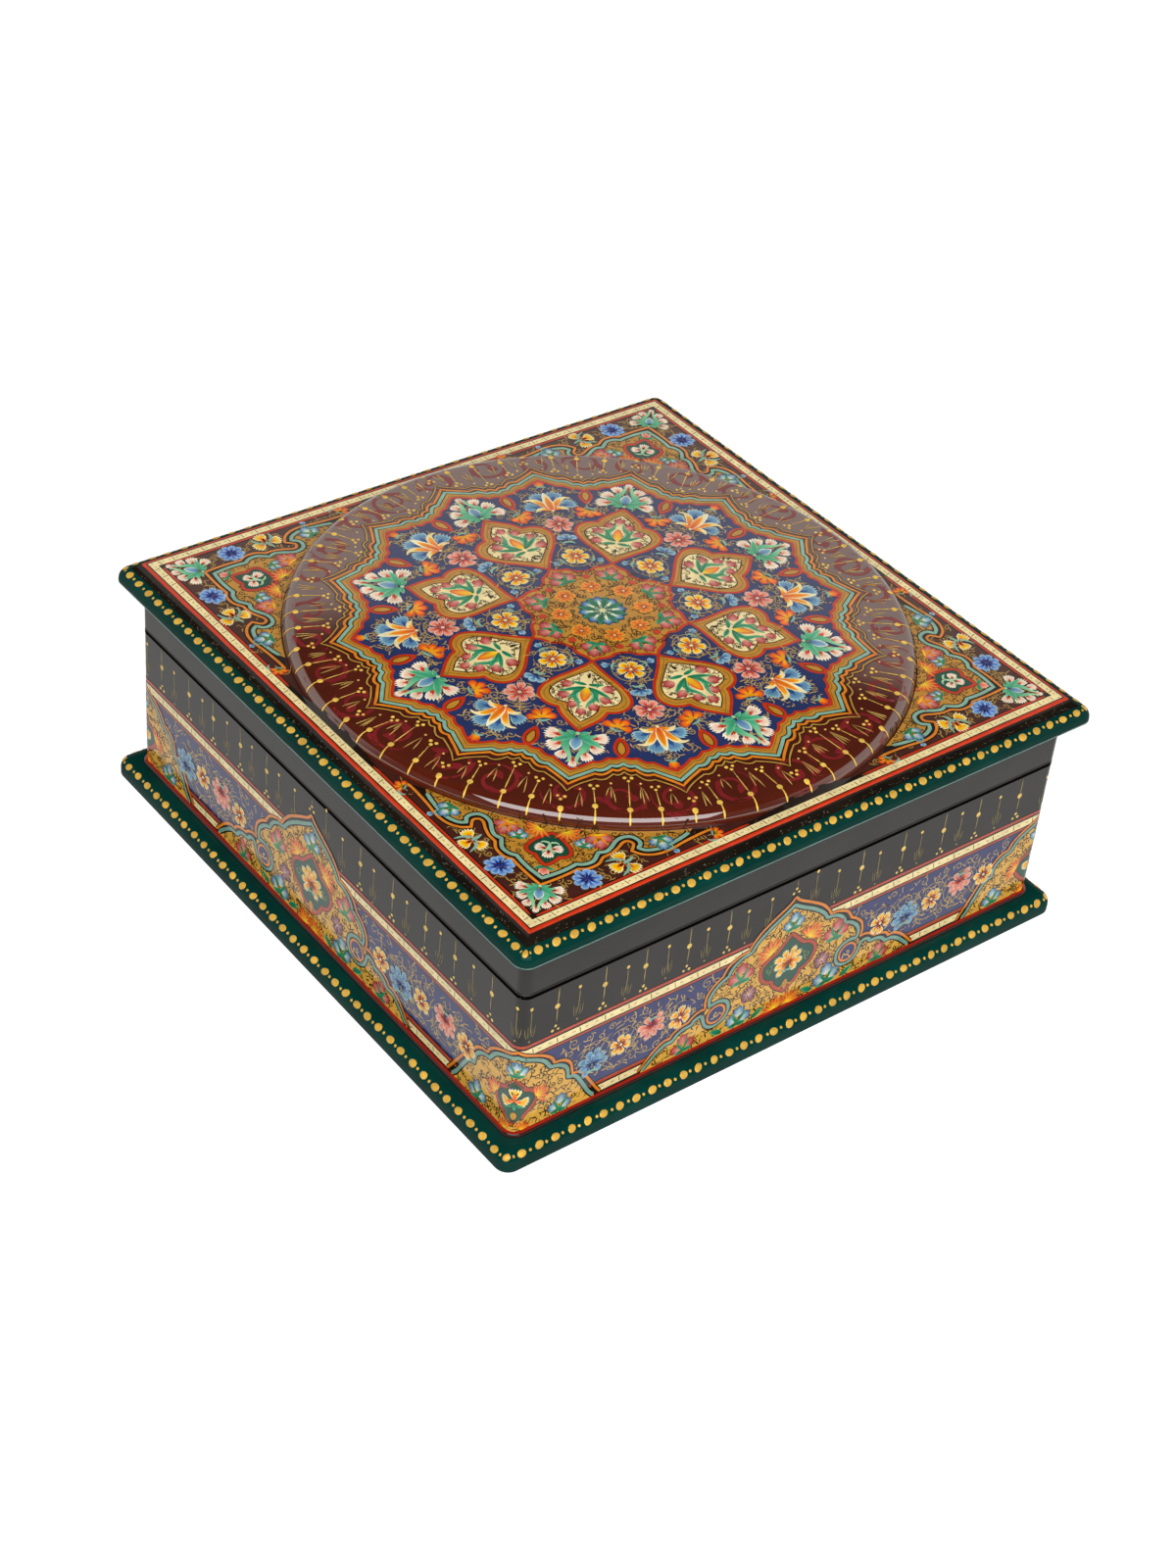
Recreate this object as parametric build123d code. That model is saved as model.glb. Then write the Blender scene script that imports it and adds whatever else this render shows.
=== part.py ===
from build123d import *
import os

# A square papier-mache box with a lift-off lid, in millimetres. The origin is the middle of
# the underside, +Z is up, and X and Y run along the sides.
#
# Base: a plinth board carries four mitred walls, a cord of pulp round their foot, and four
# locating strips inside, which stand proud of the rim. Lid: four mitred collar rails hang
# from a moulded board, which carries a bevelled panel and a hollow moulded dome.

# Walls of the base
wall_span = 192.6  # outside, from flat to flat
wall_height = 50.5
wall_thickness = 5.0
wall_corner_radius = 3.0  # upright corners of the walls and of the lid's collar
rim_round = 0.5  # outer edge of the rim, the lower side of the seam

# Plinth board under the walls
plinth_overhang = 6.4
plinth_thickness = 6.2
plinth_corner_radius = 4.2
plinth_roll_radius = 3.4
plinth_foot_round = 0.8

# Cord of pulp round the foot of the walls
foot_cord_radius = 1.3

# Locating strips inside the base
strip_thickness = 2.5
strip_depth = 14.0  # below the seam
strip_standing = 8.0  # above the seam
strip_lead_in = 0.8

# Collar of the lid
collar_height = 15.2
collar_round = 0.35  # lower outer edge, the upper side of the seam
collar_clearance = 0.4  # between the locating strips and the inside of the collar

# Moulded board of the lid
lid_overhang = 5.7
lid_board_thickness = 4.45
lid_corner_radius = 4.0
lid_roll_radius = 3.5
lid_arris_chamfer = 0.25

# Bevelled panel on the board
panel_thickness = 2.15
panel_step = 3.7  # from the lid's edge to the foot of the panel's bevel
panel_bevel_run = 2.7

# Hollow dome on the panel
dome_margin = 3.9  # from the top edge of the panel to the foot of the dome
dome_rim_height = 4.1
dome_rim_radius = 3.8
dome_rise = 7.0
dome_shell = 3.0

# Room that a rounded edge leaves on the face beside it
edge_land = 0.15

# Levels, from the floor up
plinth_top = plinth_thickness
seam_level = plinth_top + wall_height
board_level = seam_level + collar_height
panel_level = board_level + lid_board_thickness
field_level = panel_level + panel_thickness

# Half spans
wall_outer = wall_span / 2
wall_inner = wall_outer - wall_thickness
plinth_outer = wall_outer + plinth_overhang
lid_outer = wall_outer + lid_overhang
collar_inner = wall_inner + collar_clearance
panel_foot = lid_outer - panel_step
panel_top = panel_foot - panel_bevel_run
dome_radius = panel_top - dome_margin

SIDES = ("front", "right", "back", "left")  # -Y, +X, +Y, -X


def within(radius, *rooms):
    """The radius, or less where the faces beside the edge are too narrow for it."""
    return min([radius] + [room - edge_land for room in rooms])


def top_edges(solid):
    """The edges round the highest flat face."""
    return solid.faces().sort_by(Axis.Z)[-1].edges()


def bottom_edges(solid):
    """The edges round the lowest flat face."""
    return solid.faces().sort_by(Axis.Z)[0].edges()


def square_block(half_span, height, level, corner_radius=0.0):
    """An upright square block on a level, with square or rounded corners."""
    if corner_radius > 0:
        plan = RectangleRounded(2 * half_span, 2 * half_span, corner_radius)
    else:
        plan = Rectangle(2 * half_span, 2 * half_span)
    return Pos(0, 0, level) * extrude(plan, height)


def mitred_side(envelope, outer, inner, turn):
    """One side of a square ring, cut from its envelope and mitred at both ends."""
    box = envelope.bounding_box()
    outline = Polyline(
        (-outer, -outer), (outer, -outer), (inner, -inner), (-inner, -inner), close=True
    )
    wedge = Pos(0, 0, box.min.Z) * extrude(make_face(outline), box.size.Z)
    return envelope & (Rot(0, 0, turn) * wedge)


def ring_of_sides(name, envelope, outer, inner):
    """The four sides of a square ring, as a dictionary of node names and solids."""
    return {
        f"{side}_{name}": mitred_side(envelope, outer, inner, 90 * index)
        for index, side in enumerate(SIDES)
    }


def plinth_board():
    """The board that the box stands on, with a rolled upper edge."""
    board = square_block(plinth_outer, plinth_thickness, 0, plinth_corner_radius)
    foot_round = within(plinth_foot_round, plinth_thickness / 3)
    roll = within(
        plinth_roll_radius,
        plinth_thickness - foot_round,
        plinth_corner_radius,
        plinth_overhang,
    )
    board = fillet(top_edges(board), roll)
    return fillet(bottom_edges(board), foot_round)


def walls():
    """Four mitred walls that stand on the plinth board."""
    envelope = square_block(wall_outer, wall_height, plinth_top, wall_corner_radius)
    envelope = fillet(top_edges(envelope), within(rim_round, wall_corner_radius, wall_thickness))
    return ring_of_sides("wall", envelope, wall_outer, wall_inner)


def foot_cord():
    """The quarter-round cord of pulp in the corner between the walls and the plinth board."""
    outer = wall_outer + foot_cord_radius
    corner = wall_corner_radius + foot_cord_radius
    ring = square_block(outer, foot_cord_radius, plinth_top, corner)
    ring = fillet(top_edges(ring), within(foot_cord_radius, foot_cord_radius))
    return ring - square_block(wall_outer, foot_cord_radius, plinth_top, wall_corner_radius)


def locating_strips():
    """Four strips on the inside of the walls, which stand into the lid and locate it."""
    level = seam_level - strip_depth
    envelope = square_block(wall_inner, strip_depth + strip_standing, level)
    envelope = chamfer(top_edges(envelope), within(strip_lead_in, strip_thickness))
    return ring_of_sides("locating_strip", envelope, wall_inner, wall_inner - strip_thickness)


def collar_rails():
    """Four mitred rails under the lid's board, flush with the walls below."""
    envelope = square_block(wall_outer, collar_height, seam_level, wall_corner_radius)
    envelope = fillet(bottom_edges(envelope), within(collar_round, wall_corner_radius))
    return ring_of_sides("collar_rail", envelope, wall_outer, collar_inner)


def lid_board():
    """The lid's board, with a rolled upper edge and a crisp lower arris."""
    board = square_block(lid_outer, lid_board_thickness, board_level, lid_corner_radius)
    roll = within(
        lid_roll_radius,
        lid_board_thickness - lid_arris_chamfer,
        lid_corner_radius,
        panel_step,
    )
    board = fillet(top_edges(board), roll)
    return chamfer(bottom_edges(board), within(lid_arris_chamfer, lid_overhang))


def lid_panel():
    """The raised panel on the board, with bevelled sides."""
    foot = Pos(0, 0, panel_level) * Rectangle(2 * panel_foot, 2 * panel_foot)
    top = Pos(0, 0, field_level) * Rectangle(2 * panel_top, 2 * panel_top)
    return loft([foot, top])


def crowned_profile(radius, rim_height, rise):
    """Half the section of a round cap: a flat foot, an upright rim and a shallow spherical crown."""
    crown = rise - rim_height
    ball_radius = (radius**2 + crown**2) / (2 * crown)
    mid_height = rise - ball_radius + (ball_radius**2 - (radius / 2) ** 2) ** 0.5
    foot = Polyline((0, rise), (0, 0), (radius, 0), (radius, rim_height))
    crest = ThreePointArc((radius, rim_height), (radius / 2, mid_height), (0, rise))
    return make_face(foot + crest)


def turned(profile):
    """A profile turned round the middle of the field."""
    return Pos(0, 0, field_level) * revolve(Plane.XZ * profile, Axis.Z)


def lid_dome():
    """The hollow moulded dome, with a steep rim rolled into the crown."""
    section = crowned_profile(dome_radius, dome_rim_height, dome_rise)
    rim = section.vertices().group_by(Axis.X)[-1].sort_by(Axis.Y)[-1]
    section = fillet(rim, within(dome_rim_radius, dome_rim_height))
    hollow = crowned_profile(
        dome_radius - dome_shell, dome_rim_height - dome_shell, dome_rise - dome_shell
    )
    return turned(section - hollow)


def all_parts():
    """Every node of the box, by name."""
    return {
        "plinth_board": plinth_board(),
        **walls(),
        "foot_cord": foot_cord(),
        **locating_strips(),
        **collar_rails(),
        "lid_board": lid_board(),
        "lid_panel": lid_panel(),
        "lid_dome": lid_dome(),
    }


os.makedirs("parts", exist_ok=True)
for node, solid in all_parts().items():
    export_step(solid, f"parts/{node}.step")
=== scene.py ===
"""A square lacquered papier-mache box: smooth mouldings, and its painting as thin films of paint."""

import logging
import math
import random
from dataclasses import dataclass
from enum import Enum
from typing import Callable, Iterable, Sequence

import bpy
import numpy as np
from mathutils import Euler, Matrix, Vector
from mathutils.geometry import delaunay_2d_cdt


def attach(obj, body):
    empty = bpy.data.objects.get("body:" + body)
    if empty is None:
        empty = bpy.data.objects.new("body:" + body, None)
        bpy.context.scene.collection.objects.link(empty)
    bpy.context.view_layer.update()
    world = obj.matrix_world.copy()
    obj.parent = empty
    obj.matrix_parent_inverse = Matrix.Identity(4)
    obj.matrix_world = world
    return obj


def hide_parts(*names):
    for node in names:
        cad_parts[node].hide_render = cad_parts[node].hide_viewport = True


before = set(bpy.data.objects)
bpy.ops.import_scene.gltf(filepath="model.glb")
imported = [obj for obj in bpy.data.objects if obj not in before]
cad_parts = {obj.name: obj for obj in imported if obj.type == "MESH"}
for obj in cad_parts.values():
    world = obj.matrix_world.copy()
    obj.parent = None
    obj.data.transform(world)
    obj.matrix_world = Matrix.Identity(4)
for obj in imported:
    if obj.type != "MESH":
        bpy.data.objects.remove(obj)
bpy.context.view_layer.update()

log = logging.getLogger("papier_mache_box")
MM = 0.001
SIDES = ("front", "right", "back", "left")

Array = np.ndarray
Piece = bpy.types.Object
Socket = bpy.types.NodeSocket
Point = tuple[float, float]
Place = tuple[float, float, float]
Run = Sequence[Point]
Paint = tuple[str, str, str]
Area = Callable[[Array], Array]


# ---- sizes


@dataclass(frozen=True)
class BoxSizes:
    """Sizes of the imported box, in millimetres."""

    wall_outer: float = 96.3
    wall_thickness: float = 5.0
    wall_corner: float = 3.0
    wall_top: float = 56.7
    plinth_outer: float = 102.7
    plinth_corner: float = 4.2
    plinth_roll: float = 3.4
    plinth_foot: float = 0.8
    plinth_top: float = 6.2
    cord_radius: float = 1.3
    lid_outer: float = 102.0
    lid_corner: float = 4.0
    lid_roll: float = 3.5
    lid_arris: float = 0.25
    board_level: float = 71.9
    panel_level: float = 76.35
    panel_foot: float = 98.3
    panel_top: float = 95.6
    field_level: float = 78.5
    dome_radius: float = 91.7
    dome_rim: float = 3.85
    dome_rim_roll: float = 3.8
    dome_rise: float = 6.72


BOX = BoxSizes()


# ---- colour and finishes


def pigment(code: str) -> tuple[float, float, float]:
    """Linear red, green and blue of a colour written as six hex digits."""
    channels = [int(code[i : i + 2], 16) / 255 for i in (0, 2, 4)]
    return tuple(c / 12.92 if c <= 0.04045 else ((c + 0.055) / 1.055) ** 2.4 for c in channels)


class Nodes:
    """A short way to lay out the nodes of a material or of the surroundings."""

    def __init__(self, owner: bpy.types.Material | bpy.types.World, shader: str = "Principled BSDF") -> None:
        owner.use_nodes = True
        self.owner = owner
        self.tree = owner.node_tree
        self.shader = self.tree.nodes[shader]

    def feed(self, node: bpy.types.Node, key: str | int, value: object) -> None:
        """Gives a node's input a value, or links another node's output to it."""
        if isinstance(value, Socket):
            self.tree.links.new(value, node.inputs[key])
        else:
            node.inputs[key].default_value = value

    def add(self, kind: str, inputs: dict | None = None, out: str | int = 0, **settings: object) -> Socket:
        """Adds a node.

        Args:
            kind: its type name without the ShaderNode prefix.
            inputs: values or outputs for its inputs, by name or number.
            out: which of its outputs is wanted.
            settings: its own properties.

        Returns:
            The output.
        """
        node = self.tree.nodes.new("ShaderNode" + kind)
        for key, value in settings.items():
            setattr(node, key, value)
        for key, value in (inputs or {}).items():
            self.feed(node, key, value)
        return node.outputs[out]

    def noise(self, scale: float, detail: float) -> Socket:
        """Noise over the object's own coordinates, from about 0 to 1."""
        place = self.add("TexCoord", out="Object")
        return self.add("TexNoise", {"Vector": place, "Scale": scale, "Detail": detail})

    def remap(
        self, value: Socket, low: float, high: float, start: float = 0.3, end: float = 0.7, **settings: object
    ) -> Socket:
        """A value's span from start to end, spread from low to high."""
        inputs = {"Value": value, "From Min": start, "From Max": end, "To Min": low, "To Max": high}
        return self.add("MapRange", inputs, **settings)

    def bump(self, height: Socket, rise: float, **under: Socket) -> Socket:
        """A normal bumped by so many millimetres, over another where one is given."""
        return self.add("Bump", {"Height": height, "Distance": rise * MM, "Strength": 1.0, **under})

    def set(self, **inputs: object) -> None:
        """Feeds the shader's inputs, with underscores for spaces."""
        for key, value in inputs.items():
            self.feed(self.shader, key.replace("_", " "), value)


@dataclass(frozen=True)
class Lacquer:
    """Coloured ground under clear lacquer, rubbed down by hand.

    Attributes:
        name: the material's name.
        colour: the ground's colour.
        worn: the colour that it drifts to.
        roughness: the ground's own roughness.
        coat: how much clear lacquer lies on it.
        coat_roughness: how rubbed the lacquer is.
        ripple: height of its waves, in millimetres.
        gloss: its refractive index.
    """

    name: str
    colour: str
    worn: str
    roughness: float = 0.45
    coat: float = 0.8
    coat_roughness: float = 0.07
    ripple: float = 0.05
    gloss: float = 1.5

    def build(self) -> bpy.types.Material:
        """Makes the material."""
        n = Nodes(bpy.data.materials.new(self.name))
        drift = n.remap(n.noise(55, 4), 0, 1)
        specks = n.remap(n.noise(900, 2), 0.0, 0.35, 0.55, 0.8)
        blend = n.add("Math", {0: drift, 1: specks}, operation="MAXIMUM")
        ground, worn = ((*pigment(code), 1) for code in (self.colour, self.worn))
        colour = n.add("Mix", {0: blend, 6: ground, 7: worn}, 2, data_type="RGBA")
        rough = n.remap(n.noise(140, 4), self.roughness - 0.08, self.roughness + 0.1)
        soft = n.bump(n.noise(38, 2), self.ripple)
        fine = n.bump(n.noise(1500, 3), 0.006, Normal=soft)
        n.set(Base_Color=colour, Roughness=rough, Normal=fine, Specular_IOR_Level=0.0)
        n.set(Coat_Weight=self.coat, Coat_Roughness=self.coat_roughness, Coat_Normal=soft, Coat_IOR=self.gloss)
        return n.owner


@dataclass(frozen=True)
class Brushwork:
    """Opaque water paint under clear lacquer, its colour read from the strokes themselves.

    Attributes:
        name: the material's name.
        roughness: the paint's own roughness.
        coat: how much clear lacquer lies on it.
        metal: how much bronze powder it holds.
        drift: how far its brightness drifts.
    """

    name: str
    roughness: float = 0.5
    coat: float = 0.8
    metal: float = 0.0
    drift: float = 0.12

    def build(self) -> bpy.types.Material:
        """Makes the material."""
        n = Nodes(bpy.data.materials.new(self.name))
        tint = n.add("Attribute", attribute_name="pigment", out="Color")
        patches = n.remap(n.noise(260, 3), 1 - self.drift, 1 + self.drift)
        bristles = n.remap(n.noise(1900, 2), 1 - self.drift / 2, 1 + self.drift / 2)
        value = n.add("Math", {0: patches, 1: bristles}, operation="MULTIPLY")
        colour = n.add("HueSaturation", {"Color": tint, "Value": value})
        rough = n.remap(n.noise(420, 3), self.roughness - 0.08, self.roughness + 0.08)
        n.set(Base_Color=colour, Roughness=rough, Normal=n.bump(n.noise(2200, 2), 0.008), Metallic=self.metal)
        n.set(Coat_Weight=self.coat, Coat_Roughness=0.07, Specular_IOR_Level=0.0)
        return n.owner


class Finish(Enum):
    """The finishes of the box, each with the material slot that it stands for."""

    GREEN = ("green_lacquer", Lacquer("rubbed_green", "032e29", "063b34", 0.45, 0.15, 0.1))
    CHARCOAL = ("charcoal_lacquer", Lacquer("rubbed_charcoal", "252421", "2d2b29", 0.5, 0.6, 0.15))
    BLACK = ("black_lacquer", Lacquer("rubbed_black", "140f0b", "221b14", 0.4, 0.55))
    INSIDE = ("black_lacquer", Lacquer("inner_black", "191716", "24211f", 0.55, 0.35, 0.2))
    # painted shadow: a matt near-black with no coat, for the dark gap under the lid
    SEAM = ("black_lacquer", Lacquer("painted_seam_shadow", "060505", "0d0a08", 0.85, 0.0, 0.5))
    MAROON = ("maroon_ground", Lacquer("deep_maroon", "4b180b", "591d0e", 0.4, 1.0, 0.03, 0.03, 2.0))
    CORD = ("black_lacquer", Lacquer("cord_black", "1c1512", "3a1710", 0.4))
    PAINT = ("painted_ornament", Brushwork("water_paint"))
    GOLD = ("gold_paint", Brushwork("bronze_powder", 0.4, 0.35, 0.15, 0.16))

    def material(self) -> bpy.types.Material:
        """The finish's material, made the first time it is asked for."""
        name = self.value[1].name
        return bpy.data.materials.get(name) or self.value[1].build()

    def dress(self, piece: Piece, body: str | None = None) -> Piece:
        """Gives a piece this finish, and a body unless it is a node of the frame."""
        piece.data.materials.clear()
        piece.data.materials.append(self.material())
        if body:
            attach(piece, body)
        return piece


# ---- bench work


class Bench:
    """Edit-mode steps on the piece being modelled."""

    @staticmethod
    def clear() -> None:
        """Deselects every object."""
        for item in bpy.context.selected_objects:
            item.select_set(False)

    @staticmethod
    def name(label: str) -> Piece:
        """Names the new piece, with its place and scale put into its mesh."""
        piece = bpy.context.active_object
        bpy.ops.object.transform_apply(location=True, rotation=True, scale=True)
        piece.name = piece.data.name = label
        return piece

    @staticmethod
    def pick(piece: Piece, chosen: Callable[[bpy.types.bpy_struct], bool], kind: str = "FACE") -> None:
        """Selects only the parts that a test chooses, and enters edit mode.

        Args:
            piece: what is being modelled.
            chosen: the test.
            kind: "FACE", "EDGE" or "VERT".
        """
        bpy.ops.object.mode_set(mode="OBJECT")
        groups = {"VERT": piece.data.vertices, "EDGE": piece.data.edges, "FACE": piece.data.polygons}
        bpy.context.tool_settings.mesh_select_mode = [kind == mode for mode in groups]
        for group in groups.values():
            group.foreach_set("select", [False] * len(group))
        for item in groups[kind]:
            item.select = bool(chosen(item))
        bpy.ops.object.mode_set(mode="EDIT")

    @staticmethod
    def climb(piece: Piece, steps: Iterable[Point], way: int = 1) -> None:
        """Insets a block's top face or its foot and moves it outwards, once for each step.

        Args:
            piece: the block.
            steps: how far inwards and how far outwards each step goes, in millimetres.
            way: 1 for the top face, -1 for the foot.
        """
        Bench.pick(piece, lambda f: f.normal.z * way > 0.9)
        for inward, outward in steps:
            if inward:
                bpy.ops.mesh.inset(thickness=inward * MM, use_even_offset=True)
            if outward:
                bpy.ops.transform.translate(value=(0, 0, way * outward * MM))

    @staticmethod
    def done(piece: Piece, angle: float = 32) -> Piece:
        """Leaves edit mode with outward normals, and smooth but for edges sharper than so many degrees."""
        bpy.ops.mesh.select_all(action="SELECT")
        bpy.ops.mesh.normals_make_consistent(inside=False)
        bpy.ops.object.mode_set(mode="OBJECT")
        bpy.ops.object.shade_smooth_by_angle(angle=math.radians(angle))
        Bench.clear()
        return piece

    @staticmethod
    def take_apart(piece: Piece) -> tuple[Array, Array]:
        """Leaves edit mode and turns the piece into plain vertices and triangles."""
        bpy.ops.mesh.select_all(action="SELECT")
        bpy.ops.mesh.quads_convert_to_tris()
        bpy.ops.mesh.normals_make_consistent(inside=False)
        bpy.ops.object.mode_set(mode="OBJECT")
        points = np.array([v.co for v in piece.data.vertices])
        faces = np.array([f.vertices for f in piece.data.polygons])
        bpy.data.objects.remove(piece)
        return points, faces

    @staticmethod
    def block(label: str, half: float, low: float, high: float, corner: float = 0) -> Piece:
        """An upright square block.

        Args:
            label: the piece's name.
            half: half its width, in millimetres.
            low: level of its foot.
            high: level of its top.
            corner: radius of its upright corners.

        Returns:
            The block.
        """
        Bench.clear()
        width, tall = 2 * half * MM, (high - low) * MM
        bpy.ops.mesh.primitive_cube_add(size=1, location=(0, 0, (low + high) / 2 * MM), scale=(width, width, tall))
        block = Bench.name(label)
        if corner:
            points = block.data.vertices
            Bench.pick(block, lambda e: abs(np.subtract(*(points[v].co.z for v in e.vertices))) > tall / 2, "EDGE")
            bpy.ops.mesh.bevel(offset=corner * MM, segments=8, affect="EDGES")
        return block


def roll_steps(radius: float, count: int) -> list[Point]:
    """The steps inwards and upwards that cut a quarter-round roll, in millimetres."""
    turn = np.radians(np.linspace(0, 90, count + 1))
    return list(zip(-np.diff(radius * np.cos(turn)), np.diff(radius * np.sin(turn))))


def polar(turn: Array, reach: float | Array) -> Array:
    """Points at angles clockwise from the way up, in radians, and at distances from the middle."""
    return np.column_stack([np.sin(turn) * reach, np.cos(turn) * reach])


def unit(vectors: Array) -> Array:
    """The vectors, each at length 1."""
    return vectors / np.maximum(np.hypot(*vectors.T), 1e-9)[:, None]


# ---- surfaces to paint on


class LidTop:
    """The top of the lid, painted in plan: the flat field, its bevel and the dome."""

    BEVEL = ((0, 0.6, 1.25, 1.95, 2.7), (0, -0.71, -1.29, -1.77, -2.15))  # runs and falls, from the top edge

    def __init__(self) -> None:
        crown = BOX.dome_rise - BOX.dome_rim
        ball = (BOX.dome_radius**2 + crown**2) / (2 * crown)
        roll, inner = BOX.dome_rim_roll, BOX.dome_radius - BOX.dome_rim_roll
        seat = BOX.dome_rise - ball + math.sqrt((ball - roll) ** 2 - inner**2)
        self.radii = np.linspace(0, BOX.dome_radius, 1200)
        crest = BOX.dome_rise - ball + np.sqrt(ball**2 - self.radii**2)
        bend = np.sqrt(np.maximum(roll**2 - (self.radii - inner) ** 2, 0)) + seat
        self.heights = np.where(self.radii > inner + roll * (inner / ball), bend, crest)
        self.slopes = np.gradient(self.heights, self.radii)

    def height(self, radius: float | Array) -> float | Array:
        """Height of the dome above the field at a radius, in millimetres."""
        return np.interp(radius, self.radii, self.heights, right=0.0)

    def place(self, uv: Array, lift: Array) -> Array:
        """Points on the lid's top.

        Args:
            uv: plan positions in millimetres, one to a row.
            lift: their heights over the surface.

        Returns:
            The points in millimetres.
        """
        radius = np.hypot(uv[:, 0], uv[:, 1])
        square = np.abs(uv).max(1)
        on_dome = radius < BOX.dome_radius
        slope = np.where(on_dome, np.interp(radius, self.radii, self.slopes), 0.0)
        z = BOX.field_level + np.where(on_dome, self.height(radius), 0.0)
        runs, falls = self.BEVEL
        z += np.interp(square, BOX.panel_top + np.array(runs), falls)
        steep = np.sqrt(1 + slope**2)
        out = uv / np.maximum(radius, 1e-9)[:, None] * (-slope * lift / steep)[:, None]
        return np.column_stack([uv + out, z + lift / steep])


class Girdle:
    """A band round the box: u runs round it from the middle of the front, v up or over its profile."""

    def __init__(self, half: float, corner: float, profile: Sequence[Point]) -> None:
        """Sets up the band.

        Args:
            half: half the width of its widest outline.
            corner: its radius at the corners.
            profile: points over it, each how far inside the outline and at what level.
        """
        self.half, self.corner = half, corner
        self.flat = half - corner
        self.side = 2 * (half - corner) + corner * math.pi / 2
        self.line = np.array(profile, float)
        self.along = np.concatenate([[0], np.cumsum(np.hypot(*np.diff(self.line, axis=0).T))])
        tangent = unit(np.gradient(self.line, self.along, axis=0))
        self.normal = tangent[:, ::-1]

    @classmethod
    def roll(cls, half: float, corner: float, radius: float, top: float) -> "Girdle":
        """A band over the roll along a board's upper edge.

        Args:
            half: half the board's width.
            corner: its radius at the corners.
            radius: the roll's radius.
            top: level of the board's top.

        Returns:
            The band.
        """
        turn = np.radians(np.linspace(0, 90, 19))
        return cls(half, corner, [(radius - radius * math.cos(a), top - radius + radius * math.sin(a)) for a in turn])

    def way_round(self, bends: int = 6, flats: int = 60) -> Array:
        """Places round the whole band: so many steps over a corner, and so many places along a side."""
        bend = np.linspace(0, self.side / 2 - self.flat, bends + 1)
        flat = np.linspace(-self.flat, self.flat, flats)
        part = np.concatenate([-self.side / 2 + bend[:-1], flat, self.flat + bend[1:-1]])
        return np.concatenate([part + self.side * k for k in range(4)])

    def place(self, uv: Array, lift: Array) -> Array:
        """Points on the band.

        Args:
            uv: positions round and over it in millimetres, one to a row.
            lift: their heights over the surface.

        Returns:
            The points in millimetres.
        """
        u, v = uv[:, 0], uv[:, 1]
        inset, level, out, up = (np.interp(v, self.along, c) for c in (*self.line.T, *self.normal.T))
        side = np.floor(u / self.side + 0.5)
        x = u - side * self.side
        turn = np.maximum(np.abs(x) - self.flat, 0) / self.corner
        reach = self.corner - inset + lift * out
        along = np.sign(x) * (np.minimum(np.abs(x), self.flat) + reach * np.sin(turn))
        away = self.flat + reach * np.cos(turn)
        c, s = np.cos(side * math.pi / 2), np.sin(side * math.pi / 2)
        return np.column_stack([along * c + away * s, along * s - away * c, level + lift * up])


# ---- brush and canvas


class Coat(float, Enum):
    """How far above the surface each coat of paint ends, in millimetres."""

    UNDER = 0.02
    GROUND = 0.04
    BAND = 0.06
    PANEL = 0.08
    CREAM = 0.10
    SCROLL = 0.12
    LINE = 0.13
    LEAF = 0.14
    PETAL = 0.16
    HEART = 0.18
    SPARK = 0.20


@dataclass(frozen=True)
class Spot:
    """Where a motif stands: its root, which way it grows, its size, and whether it is mirrored."""

    x: float
    y: float
    heading: float = 90.0
    scale: float = 1.0
    flip: bool = False

    def map(self, points: Array) -> Array:
        """Puts a motif's own points, x to its right and y the way it grows, on the canvas."""
        a = math.radians(self.heading)
        local = np.asarray(points, float) * self.scale * ((-1, 1) if self.flip else (1, 1))
        right, grow = (math.sin(a), -math.cos(a)), (math.cos(a), math.sin(a))
        return local @ np.array([right, grow]) + (self.x, self.y)

    def step(self, x: float, y: float, turn: float = 0.0, scale: float = 1.0, flip: bool = False) -> "Spot":
        """A further spot, at x and y of this one's frame and turned clockwise by so many degrees."""
        px, py = self.map(np.array([[x, y]]))[0]
        way = 1 if self.flip else -1
        return Spot(px, py, self.heading + way * turn, self.scale * scale, self.flip != flip)


def flow(points: Run, steps: int) -> Array:
    """A smooth line through the points, with so many steps between two of them."""
    p = np.asarray(points, float)
    q = np.vstack([2 * p[0] - p[1], p, 2 * p[-1] - p[-2]])
    t = (np.arange(steps) / steps)[:, None]
    parts = []
    for a, b, c, d in zip(q, q[1:], q[2:], q[3:]):
        bend, twist = 2 * a - 5 * b + 4 * c - d, 3 * b - a - 3 * c + d
        parts.append(0.5 * (2 * b + (c - a) * t + bend * t**2 + twist * t**3))
    return np.vstack([*parts, p[-1:]])


def joined(runs: Sequence[Run], steps: int) -> Array:
    """One line through all the runs, with a cusp wherever two of them meet."""
    return np.vstack([flow(run, steps)[:-1] for run in runs] + [np.array([runs[-1][-1]], float)])


def mirrored(runs: Sequence[Run], steps: int = 4) -> Array:
    """A closed outline from the runs down its right half."""
    right = joined(runs, steps)
    return np.vstack([right, right[-2:0:-1] * (-1, 1)])


def arch(runs: Sequence[Run]) -> Array:
    """An open line up the left side, over the apex and down the right, from the runs down its right half."""
    right = joined(runs, 5)
    return np.vstack([right[:0:-1] * (-1, 1), right])


def shrunk(loop: Array, inset: float) -> Array:
    """A closed clockwise outline moved inwards by a distance."""
    way = unit(unit(np.roll(loop, -1, 0) - loop) + unit(loop - np.roll(loop, 1, 0)))
    return loop + np.column_stack([way[:, 1], -way[:, 0]]) * inset


def within(points: Array, loop: Array) -> Array:
    """Which of the points lie inside a closed outline."""
    x, y = points[:, :1], points[:, 1:]
    ax, ay = loop.T
    bx, by = np.roll(loop, -1, 0).T
    with np.errstate(divide="ignore", invalid="ignore"):
        crossing = ((ay > y) != (by > y)) & (x < (bx - ax) * (y - ay) / (by - ay) + ax)
    return crossing.sum(1) % 2 == 1


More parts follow.
